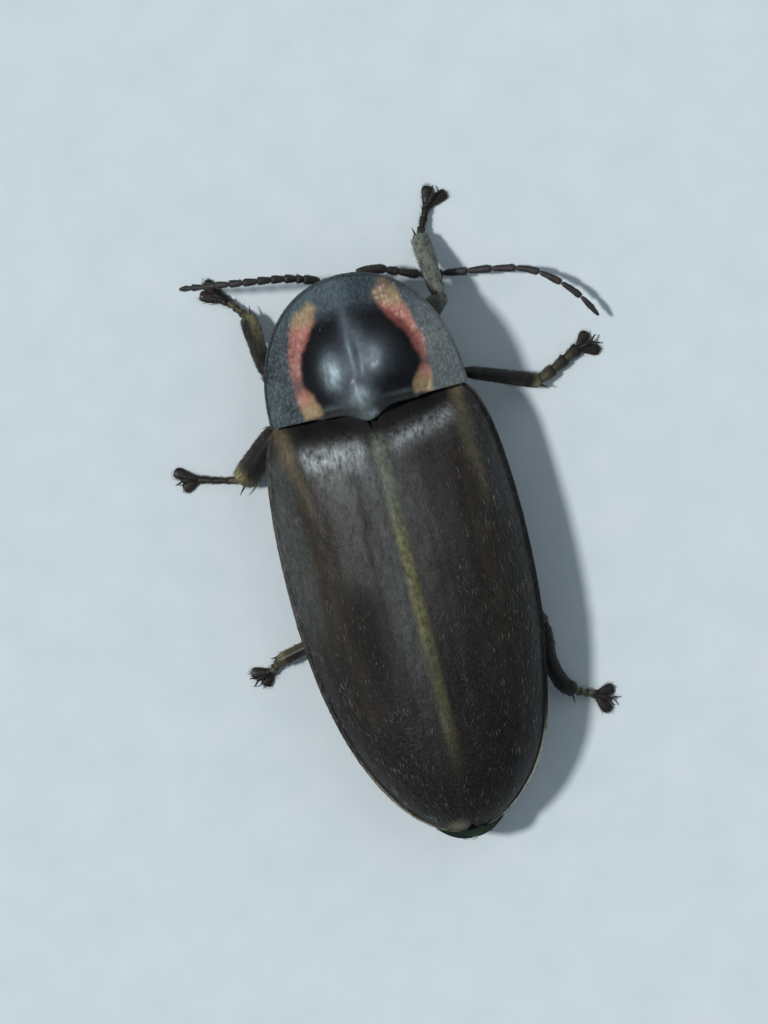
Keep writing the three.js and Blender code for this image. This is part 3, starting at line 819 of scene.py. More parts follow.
def wingFinish():
    sheet = Finish("wingCoverCuticle")
    streaks = sheet.clouds(1.0, 0.35, 0.68, 4.0, 0.6, (2.6, 0.55, 1.0))
    mottle = sheet.clouds(6.0, 0.36, 0.64, 4.0, 0.65)
    rusty = sheet.blend(sheet.mark("rear"), (0.03, 0.0185, 0.0135), (0.0115, 0.0068, 0.005))
    reddish = sheet.mark("blotch") * sheet.clouds(2.0, 0.42, 0.66, 4.0, 0.6, (1.6, 0.5, 1.0))
    # broad painted sheen
    haze = sheet.mark("haze") * (streaks * 0.4 + 0.25 + sheet.clouds(8.0, 0.3, 0.7, 5.0, 0.7) * 0.9)
    # painted sheen near the front of each cover
    paintedSheen = sheet.mark("sheen") * sheet.clouds(5.0, 0.33, 0.68, 5.0, 0.7, (1.6, 0.8, 1.0))
    olive = sheet.blend(mottle, (0.06, 0.055, 0.023), (0.135, 0.135, 0.066))
    greyer = sheet.blend(mottle, (0.068, 0.082, 0.065), (0.14, 0.16, 0.128))
    colour = sheet.layers(sheet.blend(streaks, (0.0062, 0.0063, 0.0064), (0.021, 0.0205, 0.0185)), [
        ("rear", 1, sheet.blend(streaks, (0.0027, 0.0026, 0.0026), (0.0095, 0.0085, 0.007))),
        (sheet.clouds(3.4, 0.42, 0.62, 5.0, 0.7), 0.6, rusty),
        (reddish, 0.7, (0.036, 0.026, 0.014)),
        (sheet.pits(15.0, 0.1, 0.6), 0.3, (0.038, 0.039, 0.042)),
        (haze, 1, (0.068, 0.074, 0.073)),
        (paintedSheen, 1, (0.32, 0.35, 0.365)),
        # painted shade on the rougher patch
        ("dull", 0.5, (0.007, 0.0068, 0.0065)),
        ("suture", 0.95, sheet.blend(sheet.mark("fresh"), greyer, olive)),
        (sheet.mark("humeral") * (0.5 + mottle * 0.45), 1, (0.12, 0.1, 0.055)),
        ("hem", 1, sheet.blend(sheet.clouds(8.0, 0.25, 0.5, 3.0), (0.2, 0.17, 0.11), (0.75, 0.7, 0.56))),
        ("patch", 0.6, (0.2, 0.18, 0.12)),
        # dark front band, partly painted shadow under the pronotum's rear edge
        ("base", 0.8, (0.0085, 0.009, 0.01)),
    ])
    gloss = 0.42 + sheet.noise(18.0) * 0.16 + sheet.mark("base") * 0.3 + sheet.mark("dull") * 0.35
    rough = sheet.bump(sheet.grit(26.0, 30.0, 0.6))
    return sheet.skin(colour, gloss, rough, Specular_IOR_Level=0.16)


wingLook = wingFinish()
leftWing = makeWing("wingCoverLeft", 1, "elytron_left")
rightWing = makeWing("wingCoverRight", -1, "elytron_right")


scutellumSpec = {
    "front": -0.05,
    "length": 0.95,
    "halfWidth": 0.3,
    "height": 2.2,
    "thick": 0.2,
    "across": 36,
    "below": 12,
    "along": 40,
}


def makeScutellum():
    spec = scutellumSpec
    rings = []
    for f in np.linspace(0, 1, spec["along"]):
        y = spec["front"] + spec["length"] * f
        w = spec["halfWidth"] * (1 - f**1.4) + 0.012
        x = w * np.linspace(-1, 1, spec["across"])
        low = w * np.linspace(0.96, -0.96, spec["below"])
        height = spec["height"] + 0.72 * smooth(y, 0.25, 0.9) - 0.05 * f
        top = height - 0.06 * (x / w) ** 4 + 0.012 * grains(x, y, 0.06, 41)
        rings.append(np.vstack([row(x, y, top), row(low, y, height - spec["thick"])]))
    rings = np.array(rings)
    # the scutellum's front is darkened like the covers' front band, partly painted shadow under the pronotum
    marks = {"suture": outerSide(rings, spec["across"]) * 0.35, "base": ebb(rings[:, :, 1], 0.5, 0.9)}
    return addPiece("scutellumPlate", [closedSkin(rings, marks)], wingLook, ["scutellum"], "wing_cover")


makeScutellum()
print("wing covers made")


# Body underneath
bodySpec = {
    "front": 3.9,  # where the belly starts
    "segments": 7,
    "bellyKeel": 0.92,
    "chestKeel": 1.02,
    "chestRise": 0.6,
    "throatRise": 0.5,
    "across": 130,
    "inside": 40,
    "groove": 0.03,
    # breast, middle of the front, and the swelling before the hind hips
    "swells": [(0.09, 0.62, 0.5, 2.3, 0.8), (0.07, 0.45, 0.3, 0.95, 0.4), (0.1, 1.0, 0.85, 3.45, 0.16)],
    # how the rings of one belly plate are spread along it
    "shares": [0, 0.02, 0.06, 0.12, 0.2, 0.3, 0.4, 0.5, 0.6, 0.7, 0.78, 0.85, 0.91, 0.95, 0.975, 0.99],
}
chestGrooves = [
    [(0.0, 1.2, 0.0), (0.0, 3.4, 0.0)],  # along the middle
    [(0.0, 1.15, 0.0), (0.7, 1.3, 0.0), (1.3, 1.05, 0.0), (2.3, 1.2, 0.0)],  # between middle and hind chest
    [(1.55, 1.15, 0.0), (1.75, 2.2, 0.0), (1.8, 3.6, 0.0)],  # side plates
    [(0.1, 3.3, 0.0), (0.9, 3.1, 0.0), (1.8, 3.35, 0.0), (2.4, 3.4, 0.0)],  # before the hind hips
    [(0.0, 0.35, 0.0), (0.5, 0.5, 0.0), (1.1, 0.15, 0.0)],
]
throatGrooves = [
    [(0.0, -0.9, 0.02), (0.0, -0.35, 0.05)],
    [(0.75, -1.5, 0.0), (0.85, -0.9, 0.0), (0.95, 0.0, 0.0)],
]


def bodySkin(ys, halfWidth, keel, rise, roof, relief, seam=None):
    spec = bodySpec
    rings = []
    for y in ys:
        w = float(halfWidth(y))
        x = w * fanned(spec["across"])
        out = np.abs(x) / w
        low = keel(y) + rise(y) * out**2.4 - relief(x, y, out)
        few = 0.98 * w * fanned(spec["inside"], 0.5, -0.5)
        bottom = keel(y) + rise(y) * np.abs(few / w) ** 2.4
        high = np.maximum(bottom + 0.1, roof(few, y))
        rings.append(np.vstack([row(x, y, low), row(few, y, high)]))
    rings = np.array(rings)
    below = outerSide(rings, spec["across"])
    seams = np.array([[seam(y) if seam else 0.0] for y in ys]) * below
    tip = smooth(rings[:, :, 1], 9.2, 9.45)
    return closedSkin(rings, {"hairiness": below * 0.8, "tip": tip, "seam": seams})


def grooved(x, y, routes):
    depth = np.zeros(np.broadcast(x, y).shape)
    for route in routes:
        away, _ = alongRoute(np.broadcast_to(np.abs(x), depth.shape), np.full(depth.shape, y), route)
        depth = np.maximum(depth, bell(np.maximum(away, 0), 0, bodySpec["groove"]))
    return depth


def wingRoof(x, y):
    w = float(wingHalfWidth(y))
    return wingHeight(np.abs(x), y, w, float(wingCrown(y))) - wingSpec["shell"] - 0.02


def makeChest():
    spec = bodySpec

    def halfWidth(y):
        return wingHalfWidth(y) - 0.2 - 0.25 * ebb(y, -0.05, 0.5)

    def relief(x, y, out):
        pits = 0.016 * grains(x, y, 0.09, 51) + 0.03 * ripple(x, y, 0.35, 52)
        return pits + spots(np.abs(x), y, spec["swells"]) - 0.06 * grooved(x, y, chestGrooves)

    ys = np.linspace(-0.05, 3.98, 190)
    skin = bodySkin(ys, halfWidth, lambda y: spec["chestKeel"], lambda y: spec["chestRise"], wingRoof, relief)
    return addPiece("chest", [skin], undersideLook, ["thorax"], "underside")


def makeThroat():
    # underside of the prothorax, between the front legs
    spec = bodySpec

    def halfWidth(y):
        narrowed = 1 - 0.4 * smooth(-y, 1.35, 1.85) ** 2
        return 1.22 * np.sqrt(1 - 0.42 * (np.clip(y, -2, 0) / 1.8) ** 2) * narrowed

    def keel(y):
        return spec["chestKeel"] + 0.62 * smooth(-y, 1.1, 1.95)

    def relief(x, y, out):
        pits = 0.016 * grains(x, y, 0.09, 61)
        return pits - 0.06 * grooved(x, y, throatGrooves) + 0.05 * bell(y, -1.1, 0.4)

    def roof(x, y):
        return shieldUnder(x, y) + 0.03

    ys = np.linspace(-1.8, -0.02, 96)
    skin = bodySkin(ys, halfWidth, keel, lambda y: spec["throatRise"], roof, relief)
    return addPiece("throat", [skin], undersideLook, ["prothorax"], "underside")


def makeBelly():
    spec = bodySpec
    rear = (bellyHigh[1] - anchor[1]) / mm + 0.01
    edges = spec["front"] + (rear - spec["front"]) * np.linspace(0, 1, spec["segments"] + 1) ** 0.95
    ys = np.concatenate([a + (b - a) * np.array(spec["shares"]) for a, b in zip(edges[:-1], edges[1:])])
    ys[-1] = rear - 0.004

    def within(y):
        k = min(np.searchsorted(edges, y, side="right") - 1, spec["segments"] - 1)
        return (y - edges[k]) / (edges[k + 1] - edges[k])

    def halfWidth(y):
        inside = float(wingHalfWidth(y)) - 0.22 * smooth(rear - y, 0, 1.2) - 0.02
        tip = 1.02 * math.sqrt(max(0.0004, 1 - max(0.0, (y - 8.75) / (rear - 8.75)) ** 2))
        return max(inside if y < 9.0 else 0.0, tip) - 0.035 + 0.035 * within(y) ** 0.6

    def keel(y):
        return spec["bellyKeel"] + 0.2 * smooth(y, 8, rear) + 0.22 * smooth(y, rear - 0.45, rear) ** 2

    def rise(y):
        return 0.52 - 0.44 * smooth(y, 7.2, 9.0)

    def relief(x, y, out):
        f = within(y)
        lap = 0.05 * f**0.8 + 0.018 * bell(f, 0.93, 0.05)
        pits = 0.014 * grains(x, y, 0.085, 71) + 0.02 * ripple(x, y * 3, 0.3, 72)
        fold = 0.045 * bell(out, 0.86, 0.035)
        return lap + pits - fold - 0.03 * bell(np.abs(x), 1.0, 0.16) * bell(f, 0.5, 0.2)

    def roof(x, y):
        covered = wingRoof(x, min(y, wingSpec["rear"] - 0.12))
        bare = wingMargin(y) - 0.06 - 0.05 * (np.abs(x) / 0.8) ** 2 - 0.1 * smooth(y, rear - 0.35, rear)
        return np.minimum(covered, bare) if y > 9.1 else covered

    skin = bodySkin(ys, halfWidth, keel, rise, roof, relief, lambda y: float(bell(within(y), 0.965, 0.05)))
    return addPiece("belly", [skin], undersideLook, ["abdomen"], "underside")


def undersideFinish():
    sheet = Finish("undersideCuticle")
    base = sheet.blend(sheet.clouds(1.6, 0.3, 0.7), (0.0075, 0.0075, 0.007), (0.02, 0.0175, 0.014))
    colour = sheet.layers(base, [
        (sheet.pits(12.0, 0.05, 0.5), 0.3, (0.045, 0.04, 0.034)),
        (sheet.clouds(0.8, 0.45, 0.65, 2.0), 0.4, (0.013, 0.02, 0.013)),
        ("seam", 0.7, (0.085, 0.065, 0.04)),
        ("tip", 0.7, (0.016, 0.034, 0.024)),
    ])
    gloss = 0.38 + sheet.noise(16.0) * 0.2
    rough = sheet.bump(sheet.grit(20.0, 24.0, 0.6), 0.01)
    return sheet.skin(colour, gloss, rough, Coat_Weight=0.08, Coat_Roughness=0.3)


undersideLook = undersideFinish()
chestPiece = makeChest()
throatPiece = makeThroat()
bellyPiece = makeBelly()
print("body made")


# Head, with mouthparts and the sockets of the feelers
headSpec = {
    "setBack": 0.14,
    "grain": 0.014,
    "furrow": 0.07,
    # each part's stops, then its rows, columns and bluntness, and how tawny it is
    "skull": ([(0, -1.62, 1.08, 0.56, 0.4), (0, -1.95, 1.06, 0.66, 0.44), (0, -2.3, 1.04, 0.7, 0.46),
               (0, -2.6, 1.02, 0.58, 0.42), (0, -2.8, 1.0, 0.4, 0.33)], (70, 80, 0.5), 0),
    "sides": [
        ([(0.4, -2.26, 1.03, 0.36, 0.36), (0.62, -2.32, 1.02, 0.37, 0.36),
          (0.76, -2.34, 1.0, 0.36, 0.34)], (16, 40, 0.25), 0),  # seat of the eye
        ([(0.28, -2.66, 1.04, 0.17, 0.16), (0.36, -2.84, 1.06, 0.18, 0.17),
          (0.39, -2.93, 1.07, 0.165, 0.155)], (14, 28, 0.3), 0),  # socket of the feeler
        ([(0.26, -2.66, 0.78, 0.12, 0.09), (0.27, -2.84, 0.74, 0.09, 0.07),
          (0.18, -2.95, 0.7, 0.055, 0.045), (0.03, -2.96, 0.68, 0.014, 0.014)], (22, 16, 0.5), 0.7),  # jaw
        # three joints of the outer palp
        ([(0.36, -2.5, 0.74, 0.06, 0.06), (0.45, -2.62, 0.66, 0.075, 0.07)], (8, 14, 0.8), 0.3),
        ([(0.45, -2.63, 0.66, 0.055, 0.05), (0.5, -2.76, 0.6, 0.08, 0.075)], (8, 14, 0.8), 0.3),
        ([(0.5, -2.78, 0.59, 0.05, 0.05), (0.48, -2.88, 0.55, 0.1, 0.07),
          (0.44, -2.96, 0.51, 0.1, 0.04)], (12, 16, 0.4), 0.3),
        # two joints of the inner palp
        ([(0.13, -2.6, 0.68, 0.045, 0.045), (0.17, -2.7, 0.63, 0.055, 0.05)], (7, 12, 0.8), 0.4),
        ([(0.17, -2.71, 0.63, 0.035, 0.035), (0.19, -2.82, 0.59, 0.06, 0.04)], (8, 12, 0.8), 0.4),
    ],
    "lips": [
        ([(0, -2.72, 0.9, 0.26, 0.1), (0, -2.86, 0.86, 0.24, 0.075),
          (0, -2.93, 0.83, 0.18, 0.05)], (14, 30, 0.5), 0),
        ([(0, -2.3, 0.66, 0.2, 0.1), (0, -2.55, 0.66, 0.2, 0.09),
          (0, -2.68, 0.66, 0.13, 0.06)], (14, 24, 0.5), 0),
    ],
}


def makeHead():
    def part(stops, counts, tawny, side=1):
        return tube([(side * x, *rest) for x, *rest in stops], *counts, tawny=tawny)

    spec = headSpec
    skull = part(*spec["skull"])
    points = skull[0]
    x, y, z = points.T
    furrow = spec["furrow"] * bell(x, 0, 0.16) * bell(y, -2.75, 0.3) * smooth(z, 0.9, 1.2)
    grain = spec["grain"] * grains(x + 3 * z, y, 0.06, 81)
    outward = points - (0, -2.2, 1.04)
    outward /= np.linalg.norm(outward, axis=1, keepdims=True)
    points += outward * (grain - furrow)[:, None]
    skins = [skull] + [part(*rows, side) for side in (-1, 1) for rows in spec["sides"]]
    skins += [part(*rows) for rows in spec["lips"]]
    for points, _, _ in skins:
        points[:, 1] += spec["setBack"]
    return addPiece("headCapsule", skins, headFinish(), ["head"], "head")


def headFinish():
    sheet = Finish("headCuticle")
    colour = sheet.blend(sheet.clouds(3.0, 0.3, 0.7), (0.008, 0.008, 0.009), (0.022, 0.02, 0.018))
    colour = sheet.layers(colour, [("tawny", 0.7, (0.09, 0.05, 0.022))])
    gloss = 0.42 + sheet.noise(16.0) * 0.15
    rough = sheet.bump(sheet.grit(24.0, 30.0, 0.6), strength=0.5)
    return sheet.skin(colour, gloss, rough, Coat_Weight=0.1, Coat_Roughness=0.3)


eyeSpec = {"size": 1.05, "fineness": 4, "crease": 0.982}  # crease is how far out the facets' borders lie


def makeEye(name, node):
    # a bulging eye of many six-sided facets, each a little domed
    spec = eyeSpec
    low, high = (np.array(corner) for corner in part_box(node))
    middle, half = (low + high) / 2 - np.array(anchor), (high - low) / 2
    build = bmesh.new()
    bmesh.ops.create_icosphere(build, subdivisions=spec["fineness"], radius=1.0)
    build.faces.ensure_lookup_table()
    domes = [v.co.copy() for v in build.verts]
    borders = [f.calc_center_median().normalized() * spec["crease"] for f in build.faces]
    points = np.array([tuple(v) for v in domes + borders])
    faces = []
    for edge in build.edges:
        (a, b), (f, g) = edge.verts, edge.link_faces
        for dome, one, two in ((a, f, g), (b, g, f)):
            i, j, k = dome.index, len(domes) + one.index, len(domes) + two.index
            outward = np.cross(points[j] - points[i], points[k] - points[i]) @ points[i] > 0
            faces.append((i, j, k) if outward else (i, k, j))
    build.free()
    marks = {"flow": points * 0 + (0, 1, 0), "place": (points + 1) / 2}
    skin = ((points * half * spec["size"] + middle) / mm, faces, marks)
    return addPiece(name, [skin], eyeLook, [node], "eye", False)


def eyeFinish():
    sheet = Finish("eyeFacets")
    colour = sheet.blend(sheet.clouds(4.0, 0.3, 0.7, 3.0), (0.004, 0.004, 0.005), (0.016, 0.013, 0.012))
    gloss = 0.16 + sheet.noise(30.0) * 0.1
    rough = sheet.bump(sheet.noise(60.0, 2.0), 0.002, 0.4)
    return sheet.skin(colour, gloss, rough, Coat_Weight=0.4, Coat_Roughness=0.1)


makeHead()
eyeLook = eyeFinish()
makeEye("eyeLeft", "eye_left")
makeEye("eyeRight", "eye_right")
print("head made")


# Feelers
feelerSpec = {
    "root": 0.094,
    "tip": 0.064,
    "flatness": 0.8,
    "joints": [1.35, 0.55, 0.95, 1, 1, 1, 1, 1, 1, 1, 1.1],
    "swelling": [(0.03, 0.55), (0.16, 0.8), (0.5, 0.98), (0.82, 1.1), (0.95, 0.92)],
}
feelerRoutes = {
    "antenna_left": [(0.4, -2.84, 1.08), (1.1, -3.03, 1.5), (1.9, -3.14, 1.75), (2.7, -3.26, 1.6),
                     (3.42, -3.38, 1.12)],
    "antenna_right": [(-0.41, -2.84, 1.04), (-0.88, -2.8, 0.88), (-1.25, -2.67, 0.66), (-1.7, -2.5, 0.46),
                      (-2.3, -2.38, 0.36), (-3.33, -2.22, 0.48), (-4.1, -2.01, 0.64), (-4.65, -1.62, 0.7),
                      (-5.08, -1.15, 0.6), (-5.37, -0.65, 0.5)],
}


def makeFeeler(name, node):
    spec = feelerSpec
    place = walker(feelerRoutes[node], 600)
    bounds = np.r_[0, np.cumsum(spec["joints"])] / sum(spec["joints"])
    skins = []
    for k, (a, b) in enumerate(zip(bounds[:-1], bounds[1:])):
        stops = []
        for f, size in spec["swelling"]:
            u = a + f * (b - a)
            r = (spec["root"] + (spec["tip"] - spec["root"]) * u) * size
            if k == len(spec["joints"]) - 1:
                r *= 1 - 0.55 * smooth(f, 0.5, 1.0)
            stops.append((*place(u), r, r * spec["flatness"]))
        skins.append(tube(stops, 20, 26, 0.45, 0.02, hairiness=1, ringed=lambda u: ebb(u, 0, 0.25)))
    return addPiece(name, skins, feelerLook, [node], "feeler")


def feelerFinish():
    sheet = Finish("feelerCuticle")
    colour = sheet.blend(sheet.clouds(7.0, 0.3, 0.7), (0.0065, 0.005, 0.0056), (0.022, 0.0165, 0.0165))
    colour = sheet.layers(colour, [("ringed", 0.5, (0.045, 0.036, 0.03))])
    gloss = 0.55 + sheet.noise(20.0) * 0.15
    return sheet.skin(colour, gloss, sheet.bump(sheet.grit(34.0, 40.0), strength=0.7))


feelerLook = feelerFinish()
feelers = [makeFeeler("feelerLeft", "antenna_left"), makeFeeler("feelerRight", "antenna_right")]
print("feelers made")


# Legs: hip, ring, thigh, shin with two spurs, three joints, a two-lobed sole, and the last joint with claws
legSpec = {
    "heights": {"hip": 0.55, "ankle": 0.36, "sole": 0.12, "lobes": 0.055},
    "femur": 0.27,
    "tibia": 0.165,
    "tarsus": 0.115,
    "claw": 0.022,
    "spurLength": 0.22,
    # stops of each stretch: share of its length, half width, half height and lift
    "hip": [(0, 0.29, 0.3, 0), (0.6, 0.26, 0.27, 0), (1, 0.18, 0.17, 0)],
    "ring": [(-0.04, 0.15, 0.15, 0), (0.05, 0.19, 0.18, 0), (0.13, 0.13, 0.13, 0)],
    "thigh": [(0.1, 0.5, 0.5, 0), (0.24, 0.85, 0.82, 0.02), (0.45, 1, 0.92, 0.05), (0.7, 0.9, 0.84, 0.05),
              (0.9, 0.7, 0.68, 0.02), (1, 0.52, 0.6, 0)],
    "shin": [(0, 0.62, 0.66, -0.01), (0.06, 0.6, 0.66, 0), (0.2, 0.88, 0.88, 0.015), (0.55, 1, 0.94, 0.02),
             (0.85, 1.06, 0.94, 0), (0.96, 1.02, 0.86, 0), (1, 0.86, 0.7, 0)],
    "spur": [(0, 0.026, 0.026, 0), (0.5, 0.018, 0.018, 0), (1, 0.005, 0.005, 0)],
    "joint": [(0.02, 0.66, 0.5), (0.25, 0.8, 0.6), (0.6, 0.92, 0.66), (0.88, 1.04, 0.66), (1, 0.86, 0.4)],
    "pad": [(-0.06, 0.05, 0.045, 0), (0.04, 0.11, 0.06, 0), (0.1, 0.12, 0.05, 0)],
    "lobe": [(0.1, 0.06, 0.05, 0), (0.5, 0.10625, 0.052, 0), (0.85, 0.125, 0.045, 0), (1, 0.0875, 0.03, 0)],
    "wrist": [(0.02, 0.035, 0.035, 0.05), (0.18, 0.04, 0.04, 0.11), (0.34, 0.052, 0.048, 0.1)],
}
# Bow bends the shin outwards. Tones say how olive a stretch is, and ashen how grey that olive is.
stanceSpec = {"bow": 0, "thighTone": 0, "shinTone": 0, "shinFrom": 0.5, "shinSide": 1, "ankleTone": 0,
              "ankleFrom": 0.74, "toeTone": 0, "ashen": 0}
stances = {
    "leg_front_left": {
        "hip": (0.5, -0.95), "knee": (2.0, -1.05, 1.2), "ankle": (2.12, -2.45), "sole": (2.47, -2.91),
        "lobes": ((3.03, -3.19), (2.86, -3.45)), "girth": 1.1, "foot": 0.78,
        "shinTone": 0.9, "ankleTone": 0.5, "toeTone": 0.3, "ashen": 0.1},
    "leg_front_right": {
        "hip": (-0.5, -0.95), "knee": (-2.05, -1.8, 1.36), "ankle": (-1.96, -3.28), "sole": (-2.26, -3.89),
        "lobes": ((-2.39, -4.33), (-2.74, -4.11)), "girth": 1.15, "foot": 0.75,
        "thighTone": 0.6, "shinTone": 0.85, "shinFrom": 0, "shinSide": 0, "ankleTone": 0.7, "ashen": 0.9},
    "leg_middle_left": {
        "hip": (0.5, 1.0), "knee": (2.0, 0.04, 1.12), "ankle": (3.07, 1.0), "sole": (4.05, 0.74),
        "lobes": ((4.5, 0.45), (4.38, 0.87)), "girth": 1.62, "foot": 0.7,
        "ankleTone": 0.9, "ankleFrom": 0.66, "toeTone": 0.05},
    "leg_middle_right": {
        "hip": (-0.5, 1.0), "knee": (-2.08, -0.2, 1.14), "ankle": (-3.75, 0.42), "sole": (-4.76, -0.08),
        "lobes": ((-5.02, -0.38), (-5.2, 0.06)), "girth": 0.9, "foot": 1.15,
        "ankleTone": 0.9, "toeTone": 0.15, "ashen": 0.2},
    "leg_hind_left": {
        "hip": (0.62, 3.1), "knee": (1.55, 4.62, 0.72), "ankle": (3.24, 5.02), "sole": (3.48, 5.24),
        "lobes": ((3.9, 5.15), (3.68, 5.48)), "girth": 0.82, "foot": 0.85,
        "shinTone": 0.2, "shinFrom": 0.3, "ankleTone": 0.5, "toeTone": 0.3, "ashen": 0.2},
    "leg_hind_right": {
        "hip": (-0.7, 3.2), "knee": (-2.56, 5.5, 0.8), "ankle": (-2.88, 7.2), "sole": (-3.32, 7.4),
        "lobes": ((-3.73, 7.36), (-3.53, 7.82)), "girth": 0.95, "foot": 0.8, "bow": 0.24,
        "ankleTone": 0.1, "toeTone": 0.75, "ashen": 0.5},
}


def makeLeg(node):
    spec = legSpec
    stance = {**stanceSpec, **stances[node]}
    heights, ashen = spec["heights"], stance["ashen"]
    hip, ankle, sole = (np.array((*stance[key], heights[key])) for key in ("hip", "ankle", "sole"))
    knee = np.array(stance["knee"])
    lobes = [np.array((*end, heights["lobes"])) for end in stance["lobes"]]
    shin = unit(ankle - knee)
    front = unit((lobes[0] + lobes[1]) / 2 * (1, 1, 0) - sole * (1, 1, 0))
    cross = np.array((-front[1], front[0], 0))
    thighSize, shinSize = spec["femur"] * min(stance["girth"], 1.15), spec["tibia"] * stance["girth"]
    root = np.array((0.5 * hip[0], hip[1] - 0.16, 1.15))
    bends = [6.75 * stance["bow"] * stop[0] ** 2 * (1 - stop[0]) for stop in spec["shin"]]
    straight = between(knee, ankle, spec["shin"], shinSize)
    shinStops = [(x + bend, *rest) for bend, (x, *rest) in zip(bends, straight)]

    def shinOlive(u):
        facing = 0.5 - 0.5 * np.cos(np.linspace(0, 2 * math.pi, u.shape[1], endpoint=False))
        sided = 1 - stance["shinSide"] * ebb(facing, 0.3, 0.85)
        along = stance["shinTone"] * smooth(u, stance["shinFrom"] - 0.15, stance["shinFrom"] + 0.15)
        ankle = stance["ankleTone"] * smooth(u, stance["ankleFrom"] - 0.07, stance["ankleFrom"] + 0.07)
        return np.clip(sided * along + ankle * (0.4 + 0.6 * sided), 0, 1)

    skins = [
        tube(between(root, hip, spec["hip"]), 24, 34, 0.6, 0.01, hairiness=0.5),
        tube(between(hip, knee, spec["ring"]), 16, 30, 0.6, hairiness=0.5),
        tube(between(hip, knee, spec["thigh"], thighSize), 60, 36, 0.7, 0.015, hairiness=0.8, ashen=ashen,
             olive=lambda u: 0.2 * smooth(u, 0.93, 1.0) + stance["thighTone"] * smooth(u, 0.45, 0.75)),
        tube(shinStops, 60, 32, 0.3, 0.05, hairiness=1.0, olive=shinOlive, ashen=ashen),
    ]
    for side in (-1, 1):
        start = ankle + cross * side * 0.55 * shinSize - shin * 0.05
        end = start + shin * spec["spurLength"] * (1, 1, 0.8) + cross * side * 0.05
        end[2] = max(end[2], 0.06)
        skins.append(tube(between(start, end, spec["spur"]), 10, 10, tawny=0.4))
    place = walker([ankle - shin * 0.04, ankle + (sole - ankle) * 0.3 - (0, 0, 0.05), sole], 50)
    for a, b, size in ((0.0, 0.4, 1.0), (0.4, 0.7, 0.98), (0.7, 1.0, 1.02)):
        size *= spec["tarsus"] * stance["foot"]
        stops = [(*place(a + g * (b - a)), size * wide, size * tall) for g, wide, tall in spec["joint"]]
        tone = stance["toeTone"] + 0.5 * stance["ankleTone"] * (a == 0) * (1 - stance["toeTone"])
        skins.append(tube(stops, 22, 24, 0.5, 0.03, hairiness=1.4, ashen=ashen,
                          olive=lambda u, tone=tone: tone * ebb(u, 0.1, 0.9)))
    middle = sole * (1, 1, 0) + (0, 0, 0.075)
    skins.append(tube(between(middle, middle + front, spec["pad"]), 14, 24, 0.5, hairiness=1.4))
    skins += [tube(between(middle, end, spec["lobe"]), 20, 24, 0.5, hairiness=1.6) for end in lobes]
    wrist = between(middle, middle + front, spec["wrist"])
    skins.append(tube(wrist, 18, 18, 0.6, hairiness=0.8))
    claw = spec["claw"]
    for side in (-1, 1):
        start = wrist[-1][:3] + front * 0.02 + cross * side * 0.03
        bend = start + front * 0.09 + cross * side * 0.06 + (0, 0, -0.01)
        tip = bend + front * 0.05 + (0, 0, -0.12)
        stops = [(*start, claw, claw), (*bend, 0.72 * claw, 0.8 * claw), (*tip, 0.005, 0.005)]
        skins.append(tube(stops, 18, 12, tawny=0.3))
    for points, _, _ in skins:
        points[:, 2] = np.maximum(points[:, 2], 0.0)
    name = "".join(part.capitalize() if k else part for k, part in enumerate(node.split("_")))
    return addPiece(name, skins, legLook, [node], "leg")


def legFinish():
    sheet = Finish("legCuticle")
    cloud = sheet.clouds(5.0, 0.3, 0.7)
    # painted rim light: an olive tint on the limbs' flanks, as if light shone through them
    paintedRimLight = sheet.mark("side") ** 4.0 * sheet.clouds(3.5, 0.42, 0.6, 3.0)
    olive = sheet.blend(cloud, (0.15, 0.13, 0.055), (0.26, 0.235, 0.12))
    ashen = sheet.blend(cloud, (0.082, 0.094, 0.086), (0.165, 0.182, 0.162))
    colour = sheet.layers(sheet.blend(cloud, (0.003, 0.0026, 0.0026), (0.0115, 0.0092, 0.0076)), [
        (sheet.pits(18.0, 0.05, 0.5), 0.2, (0.04, 0.036, 0.03)),
        (paintedRimLight, 0.4, (0.1, 0.08, 0.035)),
        ("olive", 1, sheet.blend(sheet.mark("ashen"), olive, ashen)),
        ("tawny", 0.8, (0.08, 0.04, 0.018)),
    ])
    gloss = 0.4 + sheet.noise(20.0) * 0.18
    rough = sheet.bump(sheet.grit(30.0, 34.0))
    return sheet.skin(colour, gloss, rough, Specular_IOR_Level=0.22, Coat_Weight=0.06, Coat_Roughness=0.25)


legLook = legFinish()
legs = [makeLeg(node) for node in stances]
print("legs made")


# Short hairs, grown over a skin by a geometry tree and kept as plain meshes
hairSpec = {
    "sides": 3,
    "point": 0.12,  # width of the free end, as a share of the root's
    "stray": 0.22,
    "sizes": (0.55, 1.15),
    "patch": 0.003,  # size of one hair's patch in the OFBake map, around its root's place on the skin's unwrap
}


